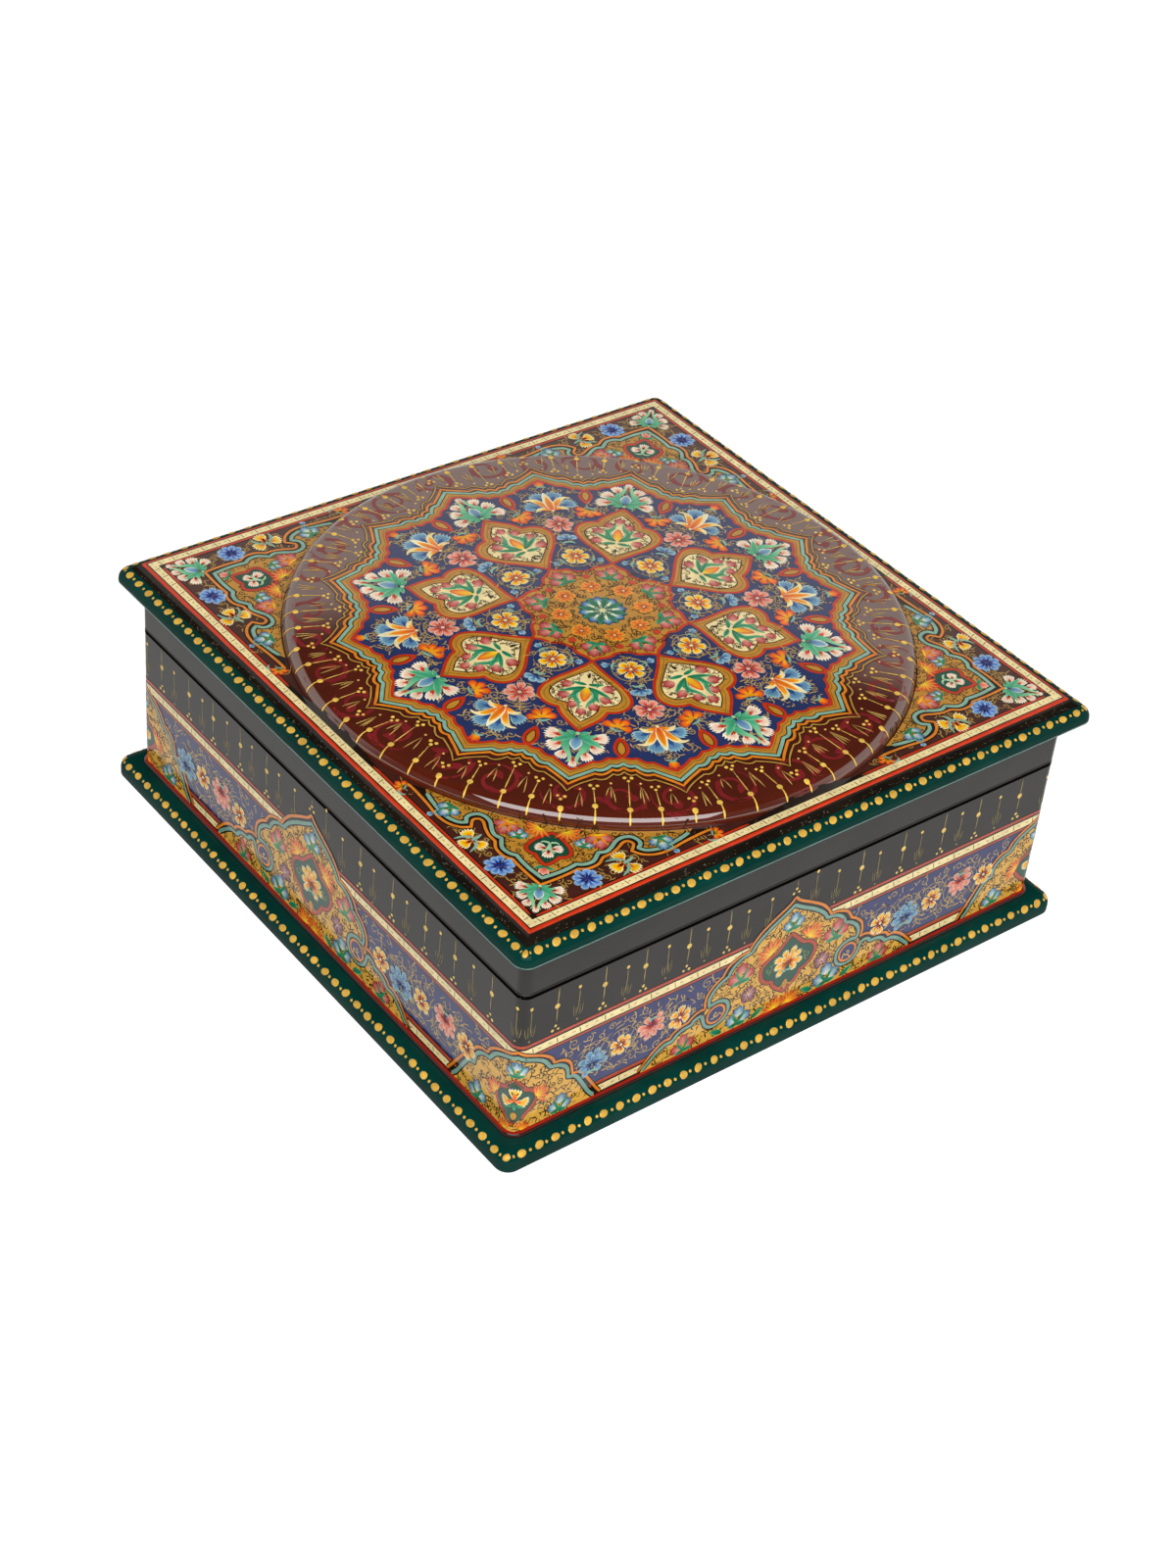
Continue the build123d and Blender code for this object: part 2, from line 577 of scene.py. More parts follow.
def plain(hue: str) -> Paint:
    """The paint of a dab of one colour."""
    return (hue, hue, hue)


class Brush(Enum):
    """The shapes that one touch of the brush leaves."""

    DROP = "round tip"
    LEAF = "pointed at both ends"
    FRILL = "wide, with a notched tip"
    BUD = "cup with three points"
    DISC = "round"

    @property
    def corners(self) -> int:
        """How many corners the outline of a dab has."""
        return {Brush.FRILL: 20, Brush.BUD: 16}.get(self, 12)

    def outline(self, t: Array) -> Array:
        """Outline of a dab of length and width 1, at turns t round it from its tip."""
        x, y = 0.5 + 0.5 * np.cos(t), 0.5 * np.sin(t)
        if self is Brush.DROP:
            y = y * (0.35 + 0.65 * x**0.8)
        elif self is Brush.LEAF:
            y = y * np.abs(np.sin(t)) ** 0.5 * (1.1 - 0.25 * np.cos(t))
        elif self in (Brush.FRILL, Brush.BUD):
            away, side, cone = np.abs(t) / math.pi, np.sign(t), math.radians(40)
            rim = 0.56 if self is Brush.FRILL else 0.46
            q = np.clip((away - rim) / (1 - rim), 0, 1)
            sweep = cone * np.minimum(away / rim, 1)
            if self is Brush.FRILL:
                reach, fall = 1 + 0.1 * np.cos(10 * math.pi * away), (1 - q) ** 0.9
            else:
                reach, fall = 0.88 + 0.12 * np.cos(2 * math.pi * away / rim), np.sqrt(1 - q**2)
            x = np.where(q > 0, reach * math.cos(cone) * (1 - q), reach * np.cos(sweep))
            y = side * np.where(q > 0, 0.5 * fall, 0.5 * np.sin(sweep) / math.sin(cone))
        return np.column_stack([x, y])


class Blanks:
    """The touches of paint, each modelled once and then copied."""

    def __init__(self) -> None:
        self.kept: dict[object, tuple] = {}

    @staticmethod
    def model(corners: int, full: bool) -> tuple[Array, Array]:
        """Models a flat dab of radius 1 with a point below it.

        Args:
            corners: how many corners its outline has.
            full: whether it has inner rings for a second tint.

        Returns:
            Its vertices and its triangles.
        """
        Bench.clear()
        place = {"location": (0, 0, -0.5), "rotation": (math.pi, 0, 0)}
        bpy.ops.mesh.primitive_cone_add(vertices=corners, radius1=1, depth=1, end_fill_type="NGON", **place)
        dab = Bench.name("dab")
        Bench.pick(dab, lambda f: f.normal.z > 0.9)
        for inward in (0.1, 0.17) if full else ():
            bpy.ops.mesh.inset(thickness=inward)
        bpy.ops.mesh.poke()
        return Bench.take_apart(dab)

    def drop(self) -> tuple[Array, Array, Array]:
        """A raised drop: its flat places about its middle, its heights and its triangles."""
        if "drop" not in self.kept:
            Bench.clear()
            bpy.ops.mesh.primitive_uv_sphere_add(segments=10, ring_count=6, radius=0.5)
            drop = Bench.name("drop")
            Bench.pick(drop, lambda v: True, "VERT")
            bpy.ops.mesh.bisect(plane_co=(0, 0, 0.1), plane_no=(0, 0, 1), use_fill=True, clear_inner=True)
            points, faces = Bench.take_apart(drop)
            rise = (points[:, 2] - 0.1) / 0.4
            self.kept["drop"] = (points[:, :2] / 0.98, np.where(rise < 0.01, -0.1, rise), faces)
        return self.kept["drop"]

    def take(self, brush: Brush, corners: int, full: bool) -> tuple:
        """A dab of one brush: its flat places, which ring each is on, and its triangles."""
        key = (brush, corners, full)
        if key not in self.kept:
            points, faces = self.model(corners, full)
            radius = np.hypot(points[:, 0], points[:, 1])
            outline = brush.outline(np.arctan2(points[:, 1], points[:, 0]))
            heart = np.array([0.5, 0.0])
            flat = heart + (outline - heart) * radius[:, None]
            ring = np.where(points[:, 2] < -0.5, 4, np.digitize(radius, (0.1, 0.8, 0.95)))
            self.kept[key] = (flat, ring, faces)
        return self.kept[key]


BLANKS = Blanks()


class Canvas:
    """Thin closed films of paint on one surface, which become one piece."""

    KEEL = 0.1  # how far each film reaches into the surface, in millimetres

    def __init__(self, surface: LidTop | Girdle, seed: int) -> None:
        self.surface = surface
        self.dice = random.Random(seed)
        self.points: list[Array] = []
        self.faces: list[Array] = []
        self.tints: list[Array] = []
        self.count = 0

    def lay(self, uv: Array, lift: Array, faces: Array, tint: Array) -> None:
        """Adds one film: its places, lifts, triangles and colours, a row to each."""
        self.points.append(self.surface.place(uv, lift))
        self.faces.append(np.asarray(faces) + self.count)
        self.tints.append(np.broadcast_to(tint, (len(uv), 3)))
        self.count += len(uv)

    def shade(self, code: str, spread: float = 0.07) -> Array:
        """A colour, a little lighter or darker each time it is mixed."""
        return np.array(pigment(code)) * (1 + self.dice.uniform(-spread, spread))

    def dab(
        self, spot: Spot, brush: Brush, length: float, width: float, paint: Paint, coat: float,
        bend: float = 0.0, corners: int = 0, full: bool = True,
    ) -> None:
        """Leaves one touch of the brush.

        Args:
            spot: the dab's root and which way it points.
            brush: the shape that the touch leaves.
            length: from root to tip.
            width: across its widest part.
            paint: the colours at its root, its middle and its rim.
            coat: its height over the surface.
            bend: how far its tip leans, as a share of its length.
            corners: of its outline, or 0 for the brush's own number.
            full: whether it has a middle tint.
        """
        flat, ring, faces = BLANKS.take(brush, corners or brush.corners, full)
        root, middle, rim = (self.shade(c) for c in paint)
        y, x = flat[:, 0] * length, flat[:, 1] * width
        x = x + bend * length * flat[:, 0] ** 2
        near = np.clip((0.4 - flat[:, 0]) / 0.3, 0, 1)[:, None]
        share = np.array([0.0, 0.0, 0.8, 1.0, 1.0])[ring][:, None]
        tint = middle + (rim - middle) * share
        tint = tint + (root - tint) * np.where(ring == 0, 0.5, near[:, 0])[:, None]
        lift = np.where(ring == 4, -self.KEEL, coat)
        uv = spot.map(np.column_stack([x, y]))
        self.lay(uv, lift, faces[:, ::-1] if spot.flip else faces, tint)
        if brush is Brush.FRILL:
            for turn in (-12, 0, 12) if length > 3.3 else (0,):
                at, vein = spot.step(0, 0, turn), (0.52 if turn else 0.66) * length
                self.dab(at, Brush.LEAF, vein, 0.15 * width, plain(paint[0]), coat + 0.002, bend, 8, False)

    def dot(self, spot: Spot, length: float, width: float, hue: str, coat: float) -> None:
        """Leaves a small flat dot of one colour."""
        self.dab(spot, Brush.DISC, length, width, plain(hue), coat, corners=6, full=False)

    def comma(self, spot: Spot, length: float, hue: str, coat: float, bend: float) -> None:
        """Leaves a small comma of one colour, bent to either side."""
        self.dab(spot, Brush.DROP, length, 0.32 * length, plain(hue), coat, self.dice.choice((-bend, bend)), 7, False)

    def bead(self, spot: Spot, length: float, width: float, height: float, hue: str) -> None:
        """Leaves a raised drop of paint, from its root to its tip."""
        flat, rise, faces = BLANKS.drop()
        uv = spot.map(flat * (width, length) + (0, length / 2))
        self.lay(uv, rise * height, faces[:, ::-1] if spot.flip else faces, self.shade(hue))

    def stroke(
        self, line: Array, widths: Sequence[float], tints: Sequence[str], coat: float, closed: bool = False
    ) -> None:
        """Draws a line with the brush.

        Args:
            line: its points, one to a row.
            widths: its widths, spread evenly along it.
            tints: its colours, spread evenly along it.
            coat: its height over the surface.
            closed: whether its end meets its start.
        """
        n = len(line)
        spread = lambda values: np.interp(np.linspace(0, 1, n), np.linspace(0, 1, len(values)), values)
        tint = np.column_stack([spread(c) for c in np.array([self.shade(c, 0.04) for c in tints]).T])
        way = unit(np.roll(line, -1, 0) - np.roll(line, 1, 0) if closed else np.gradient(line, axis=0))
        across = np.column_stack([-way[:, 1], way[:, 0]]) * spread(widths)[:, None] / 2
        body = slice(0, n) if closed else slice(1, n - 1)
        uv = np.vstack([(line + across)[body], (line - across)[body], line[body]])
        m = len(uv) // 3
        lift = np.repeat([float(coat), float(coat), -self.KEEL], m)
        tint_all = np.tile(tint[body], (3, 1))
        i = np.arange(m if closed else m - 1)
        j = (i + 1) % m
        quads = [(i, i + m, j + m, j), (i + m, i + 2 * m, j + 2 * m, j + m), (i + 2 * m, i, j, j + 2 * m)]
        faces = [np.column_stack(t) for a, b, c, d in quads for t in ((a, b, c), (a, c, d))]
        if not closed:
            uv = np.vstack([uv, line[:1], line[-1:]])
            lift = np.append(lift, [coat * 0.5, coat * 0.5])
            tint_all = np.vstack([tint_all, tint[:1], tint[-1:]])
            s, e, k = 3 * m, 3 * m + 1, m - 1
            faces.append(np.array([(s, m, 0), (s, 2 * m, m), (s, 0, 2 * m)]))
            faces.append(np.array([(e, k, k + m), (e, k + m, k + 2 * m), (e, k + 2 * m, k)]))
        self.lay(uv, lift, np.vstack(faces), tint_all)

    def rule(self, line: Array, *coats: tuple[float, str, float], closed: bool = True) -> None:
        """Draws even lines over one another, each of a width, a colour and a height."""
        for width, hue, coat in coats:
            self.stroke(line, [width], [hue], coat, closed)

    def sheet(self, loop: Array, tint: str, coat: float, step: float = 7.0, guides: Sequence[float] = ()) -> None:
        """Fills an outline with a ground colour.

        Args:
            loop: the closed outline.
            tint: its colour.
            coat: its height over the surface.
            step: how far apart its inner points stand.
            guides: values of u along which it is creased.
        """
        low, high = loop.min(0), loop.max(0)
        grid = np.meshgrid(*(np.arange(a + step / 2, b, step) for a, b in zip(low, high)))
        spare = np.column_stack([axis.ravel() for axis in grid])
        spare = spare[within(spare, loop)]
        if len(spare):
            gap = np.sqrt(((spare[:, None] - loop[None]) ** 2).sum(2)).min(1)
            spare = spare[gap > 0.3 * step]
        ends = [(g, y) for g in guides for y in (low[1] - 1, high[1] + 1)]
        verts = [Vector(p) for p in (*loop, *spare, *ends)]
        edges = [(i, i + 1) for i in range(len(verts) - len(ends), len(verts), 2)]
        out = delaunay_2d_cdt(verts, edges, [list(range(len(loop)))], 0, 1e-5)
        flat, tris = np.array([p[:] for p in out[0]]), np.array(out[2])
        tris = tris[within(flat[tris].mean(1), loop)]
        used, order = np.unique(tris, return_inverse=True)
        flat, tris = flat[used], order.reshape(tris.shape)
        a, b, c = flat[tris].transpose(1, 0, 2)
        turned = np.cross(b - a, c - a) < 0
        tris[turned] = tris[turned][:, ::-1]
        m = len(flat)
        pairs = np.vstack([tris[:, [0, 1]], tris[:, [1, 2]], tris[:, [2, 0]]])
        both = {(i, j) for i, j in pairs}
        i, j = np.array([(i, j) for i, j in pairs if (j, i) not in both]).T
        walls = np.vstack([np.column_stack([i, i + m, j + m]), np.column_stack([i, j + m, j])])
        lift = np.repeat([float(coat), -self.KEEL], m)
        self.lay(np.vstack([flat, flat]), lift, np.vstack([tris, tris[:, ::-1] + m, walls]), self.shade(tint, 0.0))

    def build(self, name: str, body: str, finish: Finish = Finish.PAINT) -> None:
        """Makes the films one piece, with its finish and body."""
        points, faces, tints = np.vstack(self.points) * MM, np.vstack(self.faces), np.vstack(self.tints)
        mesh = bpy.data.meshes.new(name)
        mesh.from_pydata(points, [], faces.tolist())
        colours = mesh.color_attributes.new("pigment", "FLOAT_COLOR", "POINT")
        colours.data.foreach_set("color", np.column_stack([tints, np.ones(len(tints))]).astype(np.float32).ravel())
        piece = bpy.data.objects.new(name, mesh)
        bpy.context.scene.collection.objects.link(piece)
        Bench.clear()
        piece.select_set(True)
        bpy.context.view_layer.objects.active = piece
        bpy.ops.object.shade_smooth_by_angle(angle=math.radians(30))
        Bench.clear()
        finish.dress(piece, body)
        log.info("%s: %d triangles", name, len(faces))


# ---- colours and motifs


class Hue(str, Enum):
    """Paint colours, as six hex digits."""

    NAVY = "283460"
    WALL_NAVY = "2b3263"
    OCHRE = "bd862f"
    PALE_OCHRE = "d9a645"
    CREAM = "f1dda2"
    RED = "bd3416"
    VERMILION = "c53311"
    BRICK = "b0452f"
    ORANGE = "dc7f22"
    TURQUOISE = "84ae98"
    WALL_TURQUOISE = "729c8d"
    OLD_GOLD = "b8893c"
    TENDRIL = "c6a258"
    VINE = "a98f56"
    UMBER = "38240f"
    BLACK = "1d1410"
    CRIMSON = "7a2124"
    BOTTLE = "1f4f3e"
    SAGE = "a9cfa4"
    GILT = "eec355"
    BEAD_GOLD = "d8ab48"
    DULL_GILT = "e3bf68"
    STEM = "97783c"
    WALL_STEM = "a08d5a"
    WALL_SCROLL = "7f8a52"
    SPIRAL = "a5823f"
    BRONZE = "8a5f22"
    TICK = "6d5430"
    CORD_RED = "8e1f14"
    # pale green of the painted highlight along the lid's lower arris
    WORN_GREEN = "5a7a72"
    # near-black of the painted shadow in the seam under the lid
    SOOT = "0d0a08"
    CORNER_MAROON = "45221b"
    DROP_GREEN = "164a38"
    ROSETTE = "1a2c3c"
    POPPY = "bf3d22"
    STAMEN = "d8dca0"


WHITE_PETAL = ("cb3c22", "f5dcc0", "fbf5e0")
PINK_PETAL = ("cb4231", "ea917a", "f4cab4")
BLUE_PETAL = ("2b4f8c", "6796b6", "a9cdd0")
SKY_PETAL = ("2d5690", "7aa9c4", "bcd8d6")
CORN_PETAL = ("2142a0", "6b9ad6", "b4d4ee")
YELLOW_PETAL = ("e8660f", "fac80f", "f9f0c8")
ORANGE_PETAL = ("f6a81e", "ea671e", "cf3a1a")
AMBER_PETAL = ("cf4018", "f0801f", "f6b83c")
TULIP = ("dc9c88", "b2403f", "8a222c")
MAUVE_PETAL = ("ad8294", "7a4058", "55283c")
INDIGO_TULIP = ("d9e6dc", "4f80a0", "1f3f66")
SAFFRON_PETAL = ("ea6c16", "f7bf22", "f7efd2")
LEAF = ("2c8c66", "52b083", "97d2a1")
DARK_LEAF = ("1b6a49", "2a8b60", "62b183")
FLAME = ("f7cf30", "ee8420", "cf4219")
FLAME_TIP = ("f8cf2a", "e0602a", "c23d2a")
EYE = ("3a6c9a", "7ea8c0", "eef2e0")
IVORY_LEAF = ("f2e3b4", "f2e3b4", "f8f0d0")
TONGUE = ("e0531c", "f08a22", "f3c01c")
ROSETTE_LEAF = ("1c5a42", "2a7454", "438e69")
ROSETTE_PETAL = ("e3e8c2", "5e8fae", "335f90")
ROSETTE_RAY = ("eef0d0", "e6edcb", "c8dcc0")


@dataclass(frozen=True)
class Touch:
    """One dab of a motif: its root in the motif's frame, and how far it turns clockwise."""

    brush: Brush
    x: float
    y: float
    turn: float
    length: float
    width: float
    paint: Paint
    coat: Coat = Coat.PETAL
    bend: float = 0.0
    twin: bool = True

    def put(self, canvas: Canvas, spot: Spot, rise: float = 0.0) -> None:
        """Lays the dab, and its twin where it stands or leans to one side."""
        for flip in (False, True) if self.twin and (self.x or self.turn or self.bend) else (False,):
            home = spot.step(0, 0, flip=flip)
            at = home.step(self.x, self.y, self.turn + canvas.dice.uniform(-3, 3))
            size = canvas.dice.uniform(0.95, 1.05)
            long, wide, coat = self.length * size, self.width * size, self.coat + rise + 0.002 * flip
            canvas.dab(at, self.brush, long, wide, self.paint, coat, self.bend)


@dataclass(frozen=True)
class Curl:
    """One brush line of a motif, in the motif's frame."""

    points: Run
    widths: Sequence[float]
    tints: Sequence[str]
    coat: Coat = Coat.LEAF
    pair: bool = True
    def put(self, canvas: Canvas, spot: Spot, rise: float = 0.0) -> None:
        """Draws the line, and its mirror image where it has one."""
        widths = [w * spot.scale for w in self.widths]
        for flip in (False, True) if self.pair else (False,):
            line = spot.step(0, 0, flip=flip).map(flow(self.points, 4))
            canvas.stroke(line, widths, self.tints, self.coat + rise + 0.002 * flip)


def paint(canvas: Canvas, motif: Sequence[Touch | Curl], spot: Spot) -> None:
    """Paints a motif at a spot, a little differently each time."""
    heading, scale = spot.heading + canvas.dice.uniform(-2, 2), spot.scale * canvas.dice.uniform(0.97, 1.03)
    shaken = Spot(spot.x, spot.y, heading, scale, spot.flip)
    lift = canvas.dice.uniform(0, 0.01)
    for n, part in enumerate(motif):
        part.put(canvas, shaken, lift + 0.0037 * n)


def blossom(
    size: float, petals: int, colours: Paint, heart: str = "f4e2a8", plump: float = 0.9
) -> Callable[[Canvas, Spot], None]:
    """A flower seen from above.

    Args:
        size: across it, in millimetres.
        petals: how many it has.
        colours: its petals' paint.
        heart: the colour of the dot at its middle.
        plump: how far a petal fills its share of the ring.

    Returns:
        A way to paint it on a canvas at a spot.
    """
    width = plump * 2.58 * size / petals

    def put(canvas: Canvas, spot: Spot) -> None:
        start = canvas.dice.uniform(0, 360)
        for k in range(petals):
            root = spot.step(0, 0, start + 360 * k / petals + canvas.dice.uniform(-5, 5)).step(0, 0.06 * size)
            long = size * 0.44 * canvas.dice.uniform(0.93, 1.07)
            canvas.dab(root, Brush.FRILL, long, width, colours, Coat.PETAL + 0.004 * k)
        canvas.dot(spot.step(0, -0.07 * size), 0.14 * size, 0.14 * size, heart, Coat.PETAL + 0.035)

    return put


def scroll(
    canvas: Canvas, spot: Spot, radius: float, turns: float, width: float, tint: str, coat: float,
    leaves: int, leaf: str = "",
) -> None:
    """Draws a spiral tendril with comma leaves along its outside.

    Args:
        canvas: what it is painted on.
        spot: its middle, heading where it ends outside.
        radius: its outer radius.
        turns: how many times it goes round.
        width: its greatest width.
        tint: its colour.
        coat: its height over the surface.
        leaves: how many comma leaves it has.
        leaf: their colour, if it isn't the tendril's.
    """
    count = max(6, int(14 * turns))
    t = np.linspace(0, 1, count)
    line = spot.map(polar(2 * math.pi * turns * t, radius * (1 - 0.78 * t**0.9)))
    canvas.stroke(line, [0.35 * width, width, 0.8 * width, 0.5 * width], [tint], coat)
    end = Spot(*line[-1], canvas.dice.uniform(0, 360))
    canvas.dot(end.step(0, -width), 2 * width, 1.8 * width, tint, coat)
    for k in range(leaves):
        i = int((0.1 + 0.7 * k / leaves) * (count - 1))
        step = line[min(i + 1, count - 1)] - line[i]
        heading = math.degrees(math.atan2(step[1], step[0])) + (-50 if spot.flip else 50)
        long = canvas.dice.uniform(3.6, 6.0) * width
        canvas.comma(Spot(*line[i], heading), long, leaf or tint, coat + 0.0009 * (k + 1), 0.4)


def scatter(
    canvas: Canvas, area: Area, span: Sequence[Point], pitch: float, size: float, width: float, tint: str, coat: float,
    leaf: str = "",
) -> None:
    """Fills an area with tendrils and commas.

    Args:
        canvas: what it is painted on.
        area: says which points are in the area.
        span: points that it lies among.
        pitch: how far apart the tendrils stand.
        size: a tendril's radius.
        width: its width.
        tint: its colour.
        coat: its height over the surface.
        leaf: the commas' colour, if it isn't the tendrils'.
    """
    dice = canvas.dice
    low, high = np.min(span, 0), np.max(span, 0)
    rows, columns = np.arange(low[1], high[1], pitch * 0.87), np.arange(low[0], high[0], pitch)
    shake = lambda share, whole: dice.uniform(-share, share) * whole
    lattice = [(x + i % 2 * pitch / 2, y) for i, y in enumerate(rows) for x in columns]
    spots = np.array([(x + shake(0.25, pitch), y + shake(0.25, pitch)) for x, y in lattice])
    for n, (x, y) in enumerate(spots[area(spots)]):
        home = Spot(x, y, dice.uniform(0, 360), 1.0, dice.random() < 0.5)
        level = coat + 0.0017 * (n % 5)
        if dice.random() < 0.72:
            radius, turns = size * dice.uniform(0.75, 1.15), dice.uniform(0.8, 1.35)
            scroll(canvas, home, radius, turns, width, tint, level, dice.choice((1, 2, 3)), leaf)
            continue
        for k in range(3):
            long = dice.uniform(3, 5) * width
            at = home.step(shake(1, size) * 0.5, shake(1, size) * 0.5, dice.uniform(0, 360))
            canvas.comma(at, long, leaf or tint, level + 0.001 * k, 0.5)


def rings(canvas: Canvas, hub: Spot, radii: Sequence[float], area: Area, count: int, coat: float) -> None:
    """Draws fine arcs round a flower, where they stay in an area.

    Args:
        canvas: what it is painted on.
        hub: the flower's middle.
        radii: the arcs' radii, in turn.
        area: says which points are in the area.
        count: how many arcs are tried.
        coat: their height over the surface.
    """
    for k in range(count):
        arc = np.radians(np.linspace(0, canvas.dice.uniform(55, 95), 9))
        home = hub.step(0, 0, 360 / count * k + canvas.dice.uniform(-15, 15))
        line = home.map(polar(arc, radii[k % len(radii)]))
        if area(line).all():
            canvas.stroke(line, [0.12, 0.3, 0.3, 0.12], [Hue.VINE], coat)


def fan(
    petals: int, spread: float, length: float, width: float, colours: Paint,
    brush: Brush = Brush.LEAF, gap: float = 0.0, coat: float = Coat.PETAL,
) -> list[Touch]:
    """Petals that fan out, so many degrees to either side and a little way off their root."""
    touches = []
    for k in range(petals):
        turn = spread * (2 * k / (petals - 1) - 1)
        x, y = gap * math.sin(math.radians(turn)), gap * math.cos(math.radians(turn))
        long = length * (1 - 0.1 * (k % 2))
        touches.append(Touch(brush, x, y, turn, long, width, colours, coat + 0.003 * k, 0, False))
    return touches


def calyx(points: Run, widths: Sequence[float], coat: Coat = Coat.HEART) -> Curl:
    """One turquoise line at the foot of a flower."""
    return Curl(points, widths, [Hue.TURQUOISE], coat, False)


def carnation(colours: Paint) -> list[Touch | Curl]:
    """A full flower seen from the side, over its calyx."""
    cup = [(-2.2, -2.6), (-1.1, -3.3), (0, -3.0), (1.1, -3.3), (2.2, -2.6)]
    return [
        *fan(8, 143, 5.4, 2.8, colours, Brush.FRILL, 0.35),
        *fan(3, 52, 3.2, 1.9, colours, Brush.FRILL, 0.2, Coat.HEART),
        calyx(cup, [0.4, 0.9, 0.7, 0.9, 0.4], Coat.SPARK),
    ]


def trio(colours: Paint, leaf: Paint = DARK_LEAF) -> list[Touch | Curl]:
    """Three tulips on a forked stem."""
    return [
        Touch(Brush.BUD, 0, 2.4, 0, 4.4, 3.9, colours),
        Touch(Brush.BUD, 1, 0.9, 56, 4.2, 3.7, colours),
        Curl([(0, 0), (1.3, 2.4), (2, 4.6)], [0.5, 0.9, 0.3], [leaf[1]], Coat.HEART),
        Touch(Brush.LEAF, 0, -0.2, 84, 3, 1.4, leaf, Coat.HEART, 0.1),
        Touch(Brush.DROP, 0, -0.6, 0, 2.4, 0.9, leaf, Coat.HEART),
    ]


LOTUS = [
    Touch(Brush.FRILL, 0, 9.8, 0, 4.2, 2.6, WHITE_PETAL),
    Touch(Brush.FRILL, 2, 6.6, 25, 4.9, 4, WHITE_PETAL),
    Touch(Brush.FRILL, 2.6, 3.9, 60, 5.6, 5, WHITE_PETAL),
    Touch(Brush.FRILL, 3.2, 1.6, 101, 5.4, 4.8, WHITE_PETAL),
    Curl(
        [(0.5, 0.8), (2.6, 3.2), (2.6, 6), (1.4, 8.8), (0.9, 11.2), (1.9, 12.3)],
        [1.4, 2.7, 2.2, 1.3, 0.9, 0.3], [*LEAF, Hue.SAGE], Coat.HEART,
    ),
    Touch(Brush.LEAF, 0.5, 0.9, 61, 7.6, 2, LEAF, Coat.HEART, -0.06),
    Curl([(0.4, 0.6), (2.4, 1), (4.3, 0.7), (5.4, -0.7)], [1.2, 1.8, 1.2, 0.4], [*LEAF[:2], Hue.SAGE], Coat.HEART),
    Touch(Brush.LEAF, 0.2, 0.2, 100, 3.2, 1.2, LEAF, Coat.HEART, 0.15),
    Touch(Brush.LEAF, 0, 1.6, 0, 5.6, 3.2, EYE, Coat.SPARK),
    Touch(Brush.DISC, 0, -0.6, 0, 1.2, 1.2, plain(Hue.SAGE), Coat.SPARK),
]

POSY = [
    Touch(Brush.BUD, 0, 9.6, 0, 3.8, 3.2, TULIP),
    Touch(Brush.BUD, 1.9, 7.2, 40, 3.9, 3.2, TULIP),
    Touch(Brush.BUD, 4.1, 4, 66, 4.2, 3.5, TULIP),
    Touch(Brush.BUD, 4, -0.2, 93, 4.2, 3.5, TULIP),
    Curl([(0.2, 0), (2.4, 2), (2.8, 4.8), (1.5, 7.4), (1, 9.8)], [0.9, 1.9, 1.7, 1, 0.3], DARK_LEAF, Coat.HEART),
    Curl([(1, 1.4), (2.2, 3.6), (1.9, 6)], [0.15, 0.4, 0.15], ["8fcf9c"], Coat.SPARK),
    Touch(Brush.LEAF, 0.3, 0.2, 40, 7.6, 1.4, DARK_LEAF, Coat.HEART, -0.1),
    Touch(Brush.LEAF, 0.3, 0, 66, 8, 1.3, DARK_LEAF, Coat.HEART, -0.08),
    Touch(Brush.LEAF, 0.2, -1.2, 92, 4.4, 1.3, DARK_LEAF, Coat.HEART, 0.1),
    Touch(Brush.LEAF, 0, 0.2, 0, 6.8, 2.7, FLAME, Coat.SPARK),
    Touch(Brush.DISC, 0, -0.8, 0, 1.2, 1.2, plain(Hue.CREAM), Coat.SPARK),
]

LILY = [
    Touch(Brush.FRILL, 1.1, 5, 22, 6.4, 5.6, BLUE_PETAL),
    Touch(Brush.FRILL, 2.2, 1.8, 70, 6, 5.4, BLUE_PETAL),
    Curl([(0.3, 0.5), (2, 3.8), (3.7, 6.2), (5.6, 7.2), (7.6, 6.6)], [1, 2.3, 2.3, 1.1, 0.3], [Hue.CREAM], Coat.HEART),
    Curl([(0.4, 0.7), (1.9, 3.5), (3.3, 5.6), (4.6, 6.5)], [0.7, 1.6, 1.5, 0.4], TONGUE, Coat.SPARK),
    Curl([(0.3, 0.3), (2.2, 1.4), (3.9, 1.3), (5.2, 0)], [0.8, 1.9, 1.6, 0.4], [Hue.CREAM], Coat.HEART),
    Curl([(0.3, 0.2), (1.9, 1), (3.4, 0.9)], [0.6, 1.4, 0.7], TONGUE, Coat.SPARK),
    Touch(Brush.LEAF, 0, 0, 0, 11.2, 2.8, IVORY_LEAF, Coat.SPARK),
    Touch(Brush.LEAF, 0, 0.1, 0, 8.6, 2, ("d9481c", "f08a22", "f4c21c"), Coat.SPARK + 0.02),
    Touch(Brush.DISC, 0, -0.6, 0, 1.1, 1.1, plain(Hue.CREAM), Coat.SPARK + 0.02),
]

BUD = [
    Touch(Brush.BUD, 0, 0, 0, 3.6, 3.2, ("f6b01c", "e04a18", "cc3418")),
    calyx([(-1.6, -0.9), (-0.6, 0), (0.6, 0), (1.6, -0.9)], [0.3, 0.8, 0.8, 0.3]),
]

ORANGE_FAN = [
    *fan(4, 82, 4.5, 3, ORANGE_PETAL, Brush.FRILL),
    calyx([(-2, -1), (-0.8, -1.4), (0.7, -1.4), (1.9, -0.8)], [0.3, 0.8, 0.8, 0.3]),
    Curl([(-0.9, -1.6), (-2, -3.6)], [0.35, 0.25], [Hue.TENDRIL], Coat.SCROLL),
]

BLUE_SPRIG = [
    *fan(3, 66, 3.2, 2.8, SKY_PETAL, Brush.FRILL),
    calyx([(-2, -2.6), (-0.9, -1.7), (0.9, -1.7), (2, -2.6)], [0.4, 0.9, 0.9, 0.4]),
]

